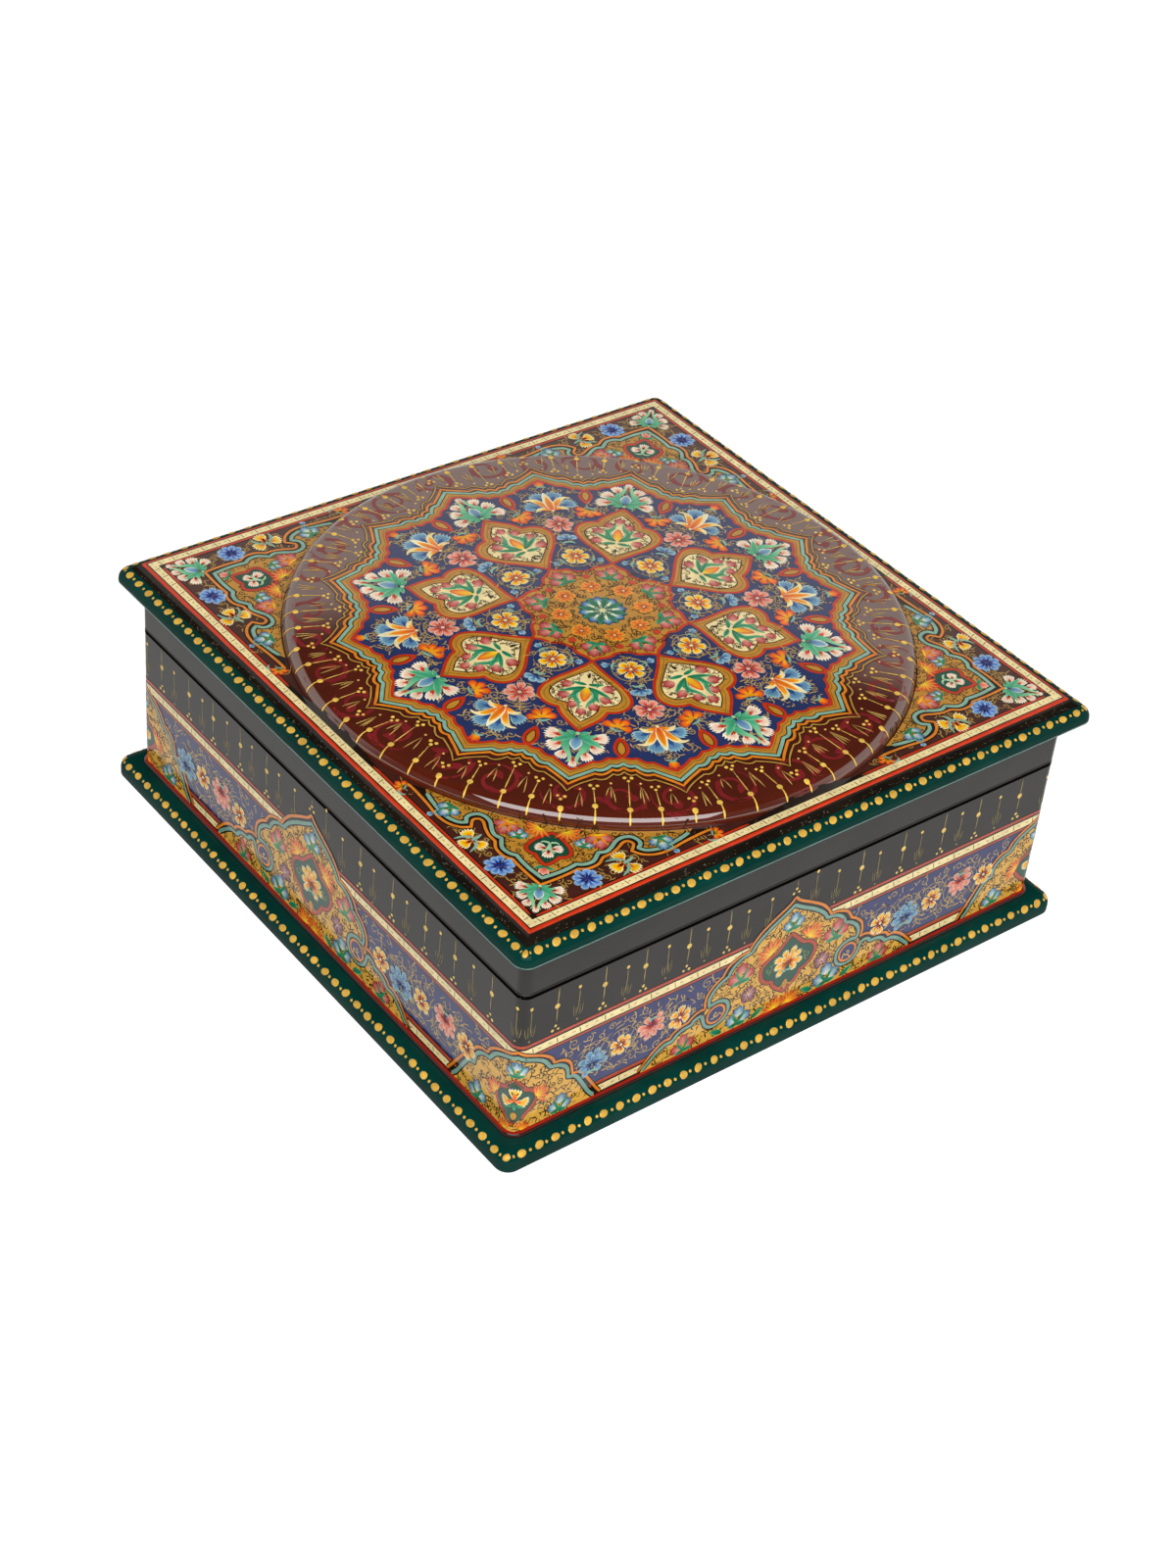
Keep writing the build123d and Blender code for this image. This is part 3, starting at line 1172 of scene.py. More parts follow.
BLUE_BUD = [
    Touch(Brush.BUD, 0, 0, 0, 2.4, 2.1, SKY_PETAL),
    calyx([(-1.5, -1.7), (-0.7, -0.8), (0.7, -0.8), (1.5, -1.7)], [0.3, 0.7, 0.7, 0.3]),
    calyx([(0, -0.8), (0.2, -2.2)], [0.4, 0.3], Coat.LEAF),
]

TRIO = trio(TULIP)
BLUE_TRIO = trio(INDIGO_TULIP)
FLAME_TRIO = trio(TULIP, FLAME)
YELLOW_TRIO = [
    *fan(3, 105, 4.3, 4.2, YELLOW_PETAL, Brush.FRILL),
    Curl([(0.2, -1), (2.2, 0.6), (3.2, 3.4)], [0.5, 0.9, 0.3], [Hue.TURQUOISE], Coat.HEART),
    calyx([(0, 0.6), (0.1, -1.6), (0.6, -3.4)], [0.6, 0.9, 0.4]),
]
WHITE_TRIO = [
    *fan(3, 100, 4.3, 4, WHITE_PETAL, Brush.FRILL),
    Curl([(0, -3.2), (0.1, -0.6), (2.2, 1.9)], [0.5, 1.3, 0.4], [Hue.SAGE], Coat.HEART),
    Curl([(0, -3), (1.8, -3.4), (3, -2.8)], [0.9, 0.7, 0.3], [Hue.SAGE], Coat.HEART),
]
FLAME_FAN = fan(7, 78, 5.4, 1.35, FLAME_TIP)
BLUE_CARNATION, PINK_CARNATION, SAFFRON_CARNATION = map(carnation, (BLUE_PETAL, PINK_PETAL, SAFFRON_PETAL))


# ---- the base


@dataclass(frozen=True)
class BeadSizes:
    """Sizes of the gold beads, in millimetres, and how many big ones lie along a side."""

    big: Point = (3.05, 2.35)
    big_rise: float = 0.16
    small: float = 0.95
    small_rise: float = 0.1
    a_side: int = 37


BEAD = BeadSizes()


def lay_beads(name: str, body: str, band: Girdle, level: float, seed: int) -> None:
    """Lays a row of big and small gold beads round a band.

    Args:
        name: the piece's name.
        body: what it rides on.
        band: what they lie on.
        level: how far up the profile they lie.
        seed: of the random draws.
    """
    canvas, pitch = Canvas(band, seed), band.side / BEAD.a_side
    dice = canvas.dice
    for k in range(4 * BEAD.a_side):
        u = (k + 0.5) * pitch + dice.uniform(-0.25, 0.25)
        spot = Spot(u, level + dice.uniform(-0.12, 0.12), dice.uniform(0, 35))
        long, wide = (s * dice.uniform(0.93, 1.07) for s in BEAD.big)
        canvas.bead(spot.step(0, -long / 2), long, wide, BEAD.big_rise, Hue.BEAD_GOLD)
        at = Spot(k * pitch + dice.uniform(-0.3, 0.3), level + dice.uniform(-0.15, 0.15), 0)
        canvas.bead(at.step(0, -BEAD.small / 2), BEAD.small, BEAD.small, BEAD.small_rise, Hue.BEAD_GOLD)
    canvas.build(name, body, Finish.GOLD)


def hoop(name: str, body: str, band: Girdle, line: Sequence[float], tint: str, coat: float, seed: int) -> None:
    """Draws one line round a band, as a piece of its own.

    Args:
        name: the piece's name.
        body: what it rides on.
        band: what it is drawn on.
        line: how far up the profile it runs, how far it wavers and its width.
        tint: its colour.
        coat: its height over the surface.
        seed: of the random draws.
    """
    canvas, u = Canvas(band, seed), band.way_round()
    level, waver, width = line
    wave = np.array([canvas.dice.uniform(-waver, waver) for _ in u])
    canvas.rule(np.column_stack([u, level + wave]), (width, tint, coat))
    canvas.build(name, body)


class Plinth:
    """The moulded board that the box stands on, the cord above it and its beads."""

    def board(self) -> Piece:
        """Models the board with its rolled edge."""
        low, high = BOX.plinth_foot, BOX.plinth_top - BOX.plinth_roll
        board = Bench.block("base_plinth", BOX.plinth_outer, low, high, BOX.plinth_corner)
        Bench.climb(board, roll_steps(BOX.plinth_roll, 10))
        Bench.climb(board, roll_steps(BOX.plinth_foot, 4), -1)
        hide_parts("plinth_board")
        return Finish.GREEN.dress(Bench.done(board), "base")

    def inside(self) -> Piece:
        """Models the black lacquer on the floor of the box, soft at its edge."""
        half, level = BOX.wall_outer - BOX.wall_thickness, BOX.plinth_top
        floor = Bench.block("floor_lacquer", half, level - 0.1, level + 0.02)
        Bench.climb(floor, [(0.3, 0.05)])
        return Finish.INSIDE.dress(Bench.done(floor), "base")

    def build(self) -> None:
        """Builds and dresses the plinth."""
        self.board()
        self.inside()
        edge = Girdle.roll(BOX.plinth_outer, BOX.plinth_corner, BOX.plinth_roll, BOX.plinth_top)
        lay_beads("plinth_beads", "base", edge, BOX.plinth_roll * math.pi / 4, 11)
        Finish.CORD.dress(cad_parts["foot_cord"])


@dataclass(frozen=True)
class Arch:
    """A lobed arch: halves of its lines, down from the apex at x 0.

    Attributes:
        outer: the orange line.
        inner: the turquoise line.
        foot: what closes its grounds, from right to left.
        curl: what the turquoise line draws round an eye before its last run.
    """

    outer: Sequence[Run]
    inner: Sequence[Run]
    foot: Run
    curl: Run = ()

    def lay(self, canvas: Canvas, spot: Spot, ground: str, line: str, guides: Sequence[float] = ()) -> Array:
        """Lays its grounds and draws its lines.

        Args:
            canvas: what it is painted on.
            spot: where its x 0, y 0 is.
            ground: the colour inside it.
            line: the colour of its inner line.
            guides: creases of the grounds over a rounded corner.

        Returns:
            The outline of its ground.
        """
        outer, inner = spot.map(arch(self.outer)), spot.map(arch(self.inner))
        foot = spot.map(self.foot)
        loop = np.vstack([inner, foot])
        canvas.sheet(np.vstack([outer, foot]), Hue.BLACK, Coat.PANEL, 6, guides)
        canvas.sheet(loop, ground, Coat.CREAM, 6, guides)
        if self.curl:
            inner = spot.map(arch([*self.inner[:-1], self.curl, self.inner[-1]]))
        canvas.rule(outer, (1.5, Hue.BLACK, Coat.SCROLL), (0.85, Hue.ORANGE, Coat.LINE), closed=False)
        canvas.rule(inner, (2.0, Hue.BLACK, Coat.SCROLL), (1.12, line, Coat.LINE), closed=False)
        return loop


def ruled(canvas: Canvas, start: Point, end: Point, half: float, pitch: float) -> None:
    """Rules a pale band with a broken middle line and cross ticks.

    Args:
        canvas: what it is painted on.
        start: where its middle starts.
        end: where it ends.
        half: half its width.
        pitch: how far apart the ticks stand.
    """
    dice = canvas.dice
    run = np.subtract(end, start)
    length = math.hypot(*run)
    home = Spot(*start, math.degrees(math.atan2(run[1], run[0])))
    count = int(length / pitch)
    for k in range(count):
        y = (k + 0.5) * length / count + dice.uniform(-0.3, 0.3)
        tick = np.column_stack([np.linspace(-half, half, 6), y + np.linspace(-0.2, 0.2, 6) * dice.uniform(0.4, 1.6)])
        canvas.stroke(home.map(tick), [0.24, 0.3, 0.24], [Hue.TICK], Coat.PANEL)
        for a, b in ((0.12, 0.42), (0.56, 0.88)):
            dash = [(0, y + a * pitch), (dice.uniform(-0.1, 0.1), y + (a + b) / 2 * pitch), (0, y + b * pitch)]
            canvas.stroke(home.map(dash), [0.1, 0.26, 0.1], [Hue.TICK], Coat.PANEL)


def flank(canvas: Canvas, spot: Spot, side: int, *motifs: tuple) -> None:
    """Paints motifs on side -1 or 1 of a spot, each given by x, y, turn, size and parts."""
    for x, y, turn, scale, motif in motifs:
        paint(canvas, motif, spot.step(x * side, y, turn * side, scale))


@dataclass
class Walls:
    """The four walls of the base and their painted frieze, in millimetres above the plinth board."""

    red_lines: Sequence[Point] = ((31.9, 1.0), (27.6, 0.7), (5.6, 1.2))  # levels and widths
    thin_lines: Sequence[float] = (31.0, 28.0, 27.1, 6.4, 4.7)
    cream_bands: Sequence[Point] = ((28.3, 30.7), (2.0, 4.5))
    navy_band: Point = (6.2, 27.2)
    # the seam band is painted shadow: a near-black band on the wall just under the lid
    seam: Point = (49.4, 1.15)  # level and width of the shadow under the lid
    shift: float = -2.6  # the frieze stands a little off the middle of each wall
    core: float = 0.8  # and the flowers of its arch a little to the right of the apex
    row_level: float = 16.2
    row: Sequence[tuple[float, str]] = (
        (-70.5, "blue"), (-61, "yellow"), (-50.5, "pink"), (-40.5, "yellow"),
        (33.5, "yellow"), (43.5, "blue"), (53.5, "yellow"), (64.5, "pink"), (74.5, "yellow"),
    )
    drops: Sequence[float] = (-84.5, -68.9, -55.3, -40.4, -26.3, -2.8, 21.7, 37.5, 53.1, 66.8, 83.4)
    sprays: Sequence[float] = (
        -93, -77.4, -61.4, -47.7, -34.2, -19.9, -11.6, 4.5, 12.8, 28.2, 44.1, 59.8, 75, 94.2,
    )
    centre: Arch = Arch(
        outer=(
            [(0, 42.2), (2, 40.2), (6, 37.8), (11, 34.5), (13.8, 31.4), (15, 29.3)],
            [(15, 29.3), (18, 28.9), (21.5, 27.3), (23.2, 25), (23.7, 24)],
            [(23.7, 24), (26.3, 22.3), (28.3, 20), (29, 17.1), (28.7, 14.6)],
            [(28.7, 14.6), (30.6, 14.7), (32.8, 13.8), (34.6, 12.3)],
            [(34.6, 12.3), (37.2, 12), (39.6, 10.8), (40.5, 9.5)],
            [(40.5, 9.5), (43, 9.4), (46.5, 7), (51.5, 1.6)],
        ),
        inner=(
            [(0, 39.3), (3, 37.3), (8, 34.3), (12, 31.1), (13.9, 28.4)],
            [(13.9, 28.4), (17, 27.8), (19.5, 26.3), (21, 24.3), (21.4, 23.2)],
            [(21.4, 23.2), (24.3, 21.8), (26.7, 19.4), (27.6, 16.9), (27.2, 14.8)],
            [
                (29.4, 12), (30.6, 12.5), (32.2, 12), (33.4, 10.8), (35.8, 10.6), (38, 9.6),
                (39.6, 8), (42.3, 7.8), (45.8, 5.5), (50, 1.5),
            ],
        ),
        foot=[(50, 0.9), (0, 0.9), (-50, 0.9)],
        curl=[
            (27.2, 14.8), (23.9, 15.1), (20.9, 13.6), (20, 10.6), (21.2, 7.6), (24.4, 6.2), (27.4, 7.4),
            (28.8, 9.9), (29.4, 12),
        ],
    )
    corner: Arch = Arch(
        outer=(
            [(0, 30.2), (3.3, 28.3), (7.3, 26.3), (10.6, 23.9), (12, 21.4)],
            [(12, 21.4), (14.8, 20.8), (17.5, 18.5), (18.6, 14)],
            [(18.6, 14), (21.5, 13.1), (24.3, 9.1), (26.8, 5.1), (29.2, 1.6)],
        ),
        inner=(
            [(0, 28.3), (3, 26.9), (8, 24.1), (10.8, 20.4)],
            [(10.8, 20.4), (13.8, 19.5), (16.5, 17.1), (17.2, 13.4)],
            [(17.2, 13.4), (19.8, 12.4), (22.3, 8.5), (24.8, 4.1), (27, 1.5)],
        ),
        foot=[(27, 0.9), (2.36, 0.9), (0, 0.9), (-2.36, 0.9), (-27, 0.9)],
    )
    quatrefoil: Sequence[Run] = (
        [(0, 28.4), (2.2, 26.2), (4.2, 24), (5.3, 23.1)],
        [(5.3, 23.1), (7.5, 22.3), (9.6, 20.3), (10, 17.8), (9, 15.1), (6.9, 13.3), (5.4, 13)],
        [(5.4, 13), (4.6, 11.1), (2.6, 9.1), (0, 7.1)],
    )
    shield: Sequence[Run] = (
        [(0, 20), (1.7, 18), (3, 16.1)],
        [(3, 16.1), (5.4, 14.7), (6.9, 12.1), (6, 9.5), (3.2, 6.7), (0, 4.1)],
    )

    def __post_init__(self) -> None:
        """Sets up the surface that the frieze is painted on."""
        self.band = Girdle(BOX.wall_outer, BOX.wall_corner, [(0, BOX.plinth_top), (0, BOX.wall_top)])
        self.half = self.band.side / 2
        bend = self.half - self.band.flat
        self.creases = [bend * k / 4 for k in range(-4, 5)]

    def bands(self) -> None:
        """Lays the navy, cream and red bands round the walls, and a near-black painted shadow in the seam."""
        canvas, seam = Canvas(self.band, 41), Canvas(self.band, 48)
        half, flat = self.half, self.band.flat
        folds = [s * (flat + (half - flat) * k / 4) for s in (-1, 1) for k in range(4)]
        row = np.linspace(-half, half, 41)
        creams = [(band, Hue.CREAM, Coat.BAND) for band in self.cream_bands]
        for k in range(4):
            u0 = k * self.band.side
            for (low, high), tint, coat in ((self.navy_band, Hue.WALL_NAVY, Coat.GROUND), *creams):
                loop = np.array([(u0 + x, high) for x in row] + [(u0 + x, low) for x in row[::-1]])
                canvas.sheet(loop, tint, coat, 12, [u0 + fold for fold in folds])
            for low, high in self.cream_bands:
                mid = (low + high) / 2
                ruled(canvas, (u0 - half, mid), (u0 + half, mid), (high - low) / 2, 7.8)
        u = self.band.way_round(4, 62)

        def waved(level: float) -> Array:
            wave = [canvas.dice.uniform(-0.08, 0.08) for _ in range(41)]
            return np.column_stack([u, level + np.interp(np.arange(len(u)) / len(u), np.linspace(0, 1, 41), wave)])

        for level in self.thin_lines:
            canvas.rule(waved(level), (0.45, Hue.BLACK, Coat.PANEL))
        for level, width in self.red_lines:
            canvas.rule(waved(level), (width, Hue.BRICK, Coat.PANEL + 0.01))
        canvas.build("frieze_bands", "base")
        # painted shadow: a matt near-black band just under the lid, where the seam lies in shade
        level, width = self.seam
        seam.rule(np.column_stack([u, level + 0 * u]), (width, Hue.SOOT, Coat.GROUND))
        seam.build("seam_shadow", "base", Finish.SEAM)

    def arches(self) -> None:
        """Lays the ochre arches with their eyes and shields, and their umber scrolls."""
        canvas, scrolls = Canvas(self.band, 42), Canvas(self.band, 43)
        circle = lambda reach: polar(np.linspace(0, 2 * math.pi, 29)[:-1], reach)
        for k in range(4):
            middle, edge = Spot(k * self.band.side + self.shift, 0), Spot((k - 0.5) * self.band.side, 0)
            folds = [edge.x + crease for crease in self.creases]
            for home, shape, shield, core, guides in (
                (middle, self.centre, self.quatrefoil, self.core, ()), (edge, self.corner, self.shield, 0, folds),
            ):
                ground = shape.lay(canvas, home, Hue.PALE_OCHRE, Hue.WALL_TURQUOISE, guides)
                panel = home.step(core, 0).map(mirrored(shield))
                canvas.sheet(panel, Hue.BOTTLE, Coat.LINE, 5, guides)
                canvas.rule(panel, (1.7, Hue.UMBER, Coat.LINE + 0.005), (1.15, Hue.BRICK, Coat.LEAF))
                free = lambda p: within(p, ground) & ~within(p, panel)
                scatter(scrolls, free, ground, 2.9, 1.4, 0.38, Hue.UMBER, Coat.SCROLL)
            for side in (-1, 1):
                eye = middle.step(24.4 * side, 10.6)
                canvas.sheet(eye.map(circle(3.9)), Hue.WALL_NAVY, Coat.LINE, 3)
                canvas.rule(eye.map(circle(3.7)), (0.5, Hue.BLACK, Coat.LEAF))
                canvas.rule(eye.map(circle(3.1)), (0.7, Hue.ORANGE, Coat.LEAF + 0.01))
                curl = Spot(eye.x, eye.y, 90 + 60 * side, 1, side > 0)
                scroll(canvas, curl, 1.5, 0.8, 0.5, Hue.TENDRIL, Coat.LEAF, 2)
        canvas.build("frieze_arches", "base")
        scrolls.build("frieze_scrolls", "base")

    def flowers(self) -> None:
        """Paints the flowers of the frieze."""
        canvas, ochre = Canvas(self.band, 44), plain(Hue.OCHRE)
        yellow, mauve = blossom(7.9, 6, SAFFRON_PETAL), blossom(6.2, 5, MAUVE_PETAL, "d9b9c0")
        kinds = {"blue": (BLUE_CARNATION, -1.6, 0), "pink": (PINK_CARNATION, 1.6, 180)}
        heart = [Touch(Brush.LEAF, 0, 0, 0, 3.8, 1.8, ochre), Touch(Brush.DROP, 0.4, 1.6, 60, 2.4, 0.8, ochre)]
        corner = [
            *fan(3, 112, 4.3, 3.8, SAFFRON_PETAL, Brush.FRILL),
            Touch(Brush.DROP, 0, -0.6, 180, 2.6, 0.8, DARK_LEAF, Coat.HEART),
            Touch(Brush.LEAF, 0.2, -1.2, 130, 2.8, 0.8, DARK_LEAF, Coat.HEART),
        ]
        for k in range(4):
            u0 = k * self.band.side
            for x, kind in self.row:
                level = self.row_level + canvas.dice.uniform(-0.4, 0.4)
                spot = Spot(u0 + x, level, 90, canvas.dice.uniform(0.93, 1.03))
                if kind in kinds:
                    motif, rise, turn = kinds[kind]
                    paint(canvas, motif, spot.step(0, rise, turn, 0.94))
                else:
                    yellow(canvas, spot)
            home = Spot(u0 + self.shift, 0)
            core = home.step(self.core, 0)
            paint(canvas, SAFFRON_CARNATION, core.step(0, 18.2, 0, 0.98))
            paint(canvas, heart, core.step(0, 11.6, 180))
            for side in (-1, 1):
                curl = Spot(core.x + 7.2 * side, 18.0, 90, 1, side > 0)
                scroll(canvas, curl, 1.6, 0.9, 0.35, Hue.WALL_SCROLL, Coat.PETAL, 2)
            paint(canvas, BLUE_TRIO, core.step(0, 30.6, 0, 0.95))
            for side in (-1, 1):
                paint(canvas, FLAME_FAN, home.step(0.5 + 2.6 * side, 1.6, 16 * side, 0.95))
            for side in (-1, 1):
                flank(
                    canvas, core, side, (6.9, 24.4, 40, 1.05, FLAME_FAN), (17.3, 18.9, 4, 1.05, TRIO),
                    (16.6, 2.6, -4, 1.1, BLUE_TRIO), (36, 2.4, 8, 0.95, TRIO),
                )
                mauve(canvas, core.step(13.6 * side, 12.4))
                for x, turn in ((11.5, -62), (22.0, 62)):
                    canvas.dab(core.step(x * side, 2.0, turn * side), Brush.LEAF, 5.2, 1.9, DARK_LEAF, Coat.LEAF + 0.01)
            edge = Spot(u0 - self.half, 0)
            paint(canvas, corner, edge.step(0, 12.7))
            paint(canvas, [Touch(Brush.LEAF, 0, 0, 0, 3.0, 1.6, ochre)], edge.step(0, 8.4, 180))
            paint(canvas, BLUE_TRIO, edge.step(0, 21.6, 0, 0.8))
            for side in (-1, 1):
                flank(
                    canvas, edge, side, (7.0, 11.8, 58, 0.84, FLAME_FAN), (2.4, 1.6, 44, 0.6, FLAME_FAN),
                    (14.8, 2.4, 6, 0.95, BLUE_TRIO),
                )
        canvas.build("frieze_flowers", "base")

    def hang_drop(self, gold: Canvas, spot: Spot, on_peak: bool) -> None:
        """Hangs a gold drop over the frieze, a short one over an arch's peak."""
        dice = gold.dice
        sway = dice.uniform(-0.2, 0.2)
        if on_peak:
            foot = 44.6
            gold.stroke(spot.map([(0, 48.6), (sway, 46.6), (0, 45.8)]), [0.35, 0.25, 0.2], [Hue.WALL_STEM], Coat.GROUND)
        else:
            foot = 34.4 + dice.uniform(-0.3, 0.3)
            stem = spot.map(flow([(sway, 48.6), (0, 43), (sway, foot + 1.6)], 3))
            gold.stroke(stem, [0.4, 0.26, 0.36], [Hue.WALL_STEM], Coat.GROUND)
            gold.bead(spot.step(0, 41.0), 1.9, 1.8, 0.14, Hue.DULL_GILT)
        for x, y in ((0, 0.6), (-0.95, -0.8), (0.95, -0.8)):
            size = dice.uniform(0.85, 1.1)
            gold.bead(spot.step(x, foot + y - size / 2), size, size, 0.1, Hue.DULL_GILT)

    def hang_spray(self, gold: Canvas, spot: Spot) -> None:
        """Hangs a spray of grass over the frieze."""
        dice = gold.dice
        gold.bead(spot.step(0, 44.2), 1.25, 1.1, 0.1, Hue.DULL_GILT)
        stem = spot.map(flow([(0, 44.4), (0.1, 40), (dice.uniform(-0.3, 0.3), 35.6)], 3))
        gold.stroke(stem, [0.26, 0.18, 0.26], [Hue.WALL_STEM], Coat.GROUND)
        for lean in (-1.6, -0.7, 0.7, 1.6):
            blade = flow([(lean * 0.6, 34.6), (lean * 0.9, 36.4), (lean, 38.0 + dice.uniform(0, 1.6))], 3)
            gold.stroke(spot.map(blade), [0.06, 0.15, 0.06], [Hue.WALL_STEM], Coat.GROUND + 0.005)
        gold.bead(spot.step(0, 33.1), 0.7, 0.7, 0.06, Hue.WALL_STEM)

    def tendrils(self) -> None:
        """Fills the navy band with tendrils and hangs the gold drops and grass sprays above it."""
        canvas, gold = Canvas(self.band, 45), Canvas(self.band, 46)
        low, high = self.navy_band
        arches = ((self.shift, self.centre), (-self.half, self.corner), (self.half, self.corner))
        for k in range(4):
            u0 = k * self.band.side
            taken = [Spot(u0 + x, 0).map(arch(shape.outer)) for x, shape in arches]

            def free(p: Array) -> Array:
                in_band = (p[:, 1] > low + 1.2) & (p[:, 1] < high - 1.2)
                return in_band & ~np.any([within(p, loop) for loop in taken], axis=0)

            span = [(u0 - self.half, low), (u0 + self.half, high)]
            scatter(canvas, free, span, 4.1, 1.9, 0.38, Hue.VINE, Coat.BAND, Hue.TENDRIL)
            for x, _ in self.row:
                rings(canvas, Spot(u0 + x, self.row_level), (5.9, 7.3), free, 7, Coat.BAND + 0.01)
            for x in self.drops:
                self.hang_drop(gold, Spot(u0 + x, 0), abs(x - self.shift) < 1)
            for x in self.sprays:
                raised = 4.0 if abs(x - self.shift) < 9 else 0.0
                self.hang_spray(gold, Spot(u0 + x, raised + gold.dice.uniform(-0.6, 0.6)))
        canvas.build("frieze_tendrils", "base")
        gold.build("wall_pendants", "base", Finish.GOLD)

    def cord_line(self) -> None:
        """Draws the red line on the cord round the foot of the walls."""
        cord, foot = BOX.cord_radius, BOX.plinth_top
        r, turn = cord - 0.15, np.radians(np.linspace(0, 90, 13))
        arc = [(r - r * math.cos(a), foot + 0.15 + r * math.sin(a)) for a in turn]
        band = Girdle(BOX.wall_outer + cord, BOX.wall_corner + cord, [(0, foot), *arc, (cord, foot + cord)])
        hoop("cord_line", "base", band, (1.55, 0.05, 0.75), Hue.CORD_RED, Coat.PANEL, 47)

    def build(self) -> None:
        """Builds and dresses the walls."""
        for side in SIDES:
            Finish.CHARCOAL.dress(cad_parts[f"{side}_wall"])
            Finish.INSIDE.dress(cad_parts[f"{side}_locating_strip"])
        self.bands()
        self.arches()
        self.flowers()
        self.tendrils()
        self.cord_line()


# ---- the lid


class LidMouldings:
    """The lid's rolled board, its bevelled panel, the dome's shell and the beads."""

    BEVEL_STEPS = ((0.75, 0.38), (0.7, 0.48), (0.65, 0.58), (0.6, 0.71))

    def board(self) -> Piece:
        """Models the board with its rolled upper edge and crisp arris."""
        low, high = BOX.board_level + BOX.lid_arris, BOX.panel_level - BOX.lid_roll
        board = Bench.block("lid_moulding", BOX.lid_outer, low, high, BOX.lid_corner)
        Bench.climb(board, roll_steps(BOX.lid_roll, 10))
        Bench.climb(board, [(BOX.lid_arris, BOX.lid_arris)], -1)
        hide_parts("lid_board")
        return Finish.GREEN.dress(Bench.done(board), "lid")

    def panel(self) -> Piece:
        """Models the panel with its hollowed bevel."""
        panel = Bench.block("lid_field", BOX.panel_foot, BOX.panel_level - 0.05, BOX.panel_level)
        Bench.climb(panel, self.BEVEL_STEPS)
        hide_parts("lid_panel")
        return Finish.BLACK.dress(Bench.done(panel, 12), "lid")

    def dome(self, top: LidTop) -> Piece:
        """Models the dome ring by ring from its foot to its crown."""
        foot = top.height(BOX.dome_radius - 1e-6)
        place = (0, 0, (BOX.field_level + foot / 2) * MM)
        Bench.clear()
        bpy.ops.mesh.primitive_cylinder_add(vertices=256, radius=BOX.dome_radius * MM, depth=foot * MM, location=place)
        dome = Bench.name("dome_shell")
        rim = BOX.dome_radius - BOX.dome_rim_roll * (1 - np.cos(np.radians(np.linspace(0, 88, 15))))
        radii = np.concatenate([rim, np.linspace(rim[-1], 3, 17)[1:]])
        heights = top.height(radii)
        heights[0] = foot
        Bench.climb(dome, zip(-np.diff(radii), np.diff(heights)))
        bpy.ops.mesh.poke()
        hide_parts("lid_dome")
        return Finish.MAROON.dress(Bench.done(dome, 50), "lid")

    def build(self, top: LidTop) -> None:
        """Builds and dresses the mouldings, their beads and the pale painted highlight line along the lower edge."""
        self.board()
        self.panel()
        self.dome(top)
        edge = Girdle.roll(BOX.lid_outer, BOX.lid_corner, BOX.lid_roll, BOX.panel_level)
        lay_beads("lid_beads", "lid", edge, BOX.lid_roll * math.radians(90 - 27), 21)
        # a pale painted highlight line along the lid board's lower edge
        low = BOX.board_level + BOX.lid_arris
        nose = Girdle(BOX.lid_outer, BOX.lid_corner, [(0, low), (0, low + 0.7)])
        hoop("lid_arris", "lid", nose, (0.2, 0.04, 0.46), Hue.WORN_GREEN, Coat.UNDER, 22)
        for side in SIDES:
            Finish.CHARCOAL.dress(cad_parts[f"{side}_collar_rail"])


LOBES = 16
AXES = 8
PENDANTS = 64


def scallops(
    peak: float, first: Point, second: Point, notch: float, hook: float, bulge: float, steps: int = 8
) -> Array:
    """A closed line of ogee lobes round the dome.

    Args:
        peak: its radius at the peaks.
        first: degrees from a peak, and radius, of the first cusp.
        second: the same of the second cusp.
        notch: its radius between two peaks.
        hook: how far it sags beside a peak.
        bulge: how far the lobes swell.
        steps: how many points each part has.

    Returns:
        The line, clockwise.
    """
    half = 180 / LOBES
    t = np.arange(steps) / steps
    angle, radius = [], []
    parts = (((0, peak), first, -hook), (first, second, bulge), (second, (half, notch), 0.7 * bulge))
    for (a0, r0), (a1, r1), swell in parts:
        angle.append(a0 + (a1 - a0) * t)
        radius.append(r0 + (r1 - r0) * t + swell * np.sin(math.pi * t ** (0.7 if swell < 0 else 1.0)))
    angle, radius = np.concatenate(angle), np.concatenate(radius)
    sector = np.concatenate([angle, [half], 2 * half - angle[:0:-1]])
    reach = np.concatenate([radius, [notch], radius[:0:-1]])
    whole = np.radians(np.concatenate([sector + 2 * half * k for k in range(LOBES)]))
    return polar(whole, np.tile(reach, LOBES))


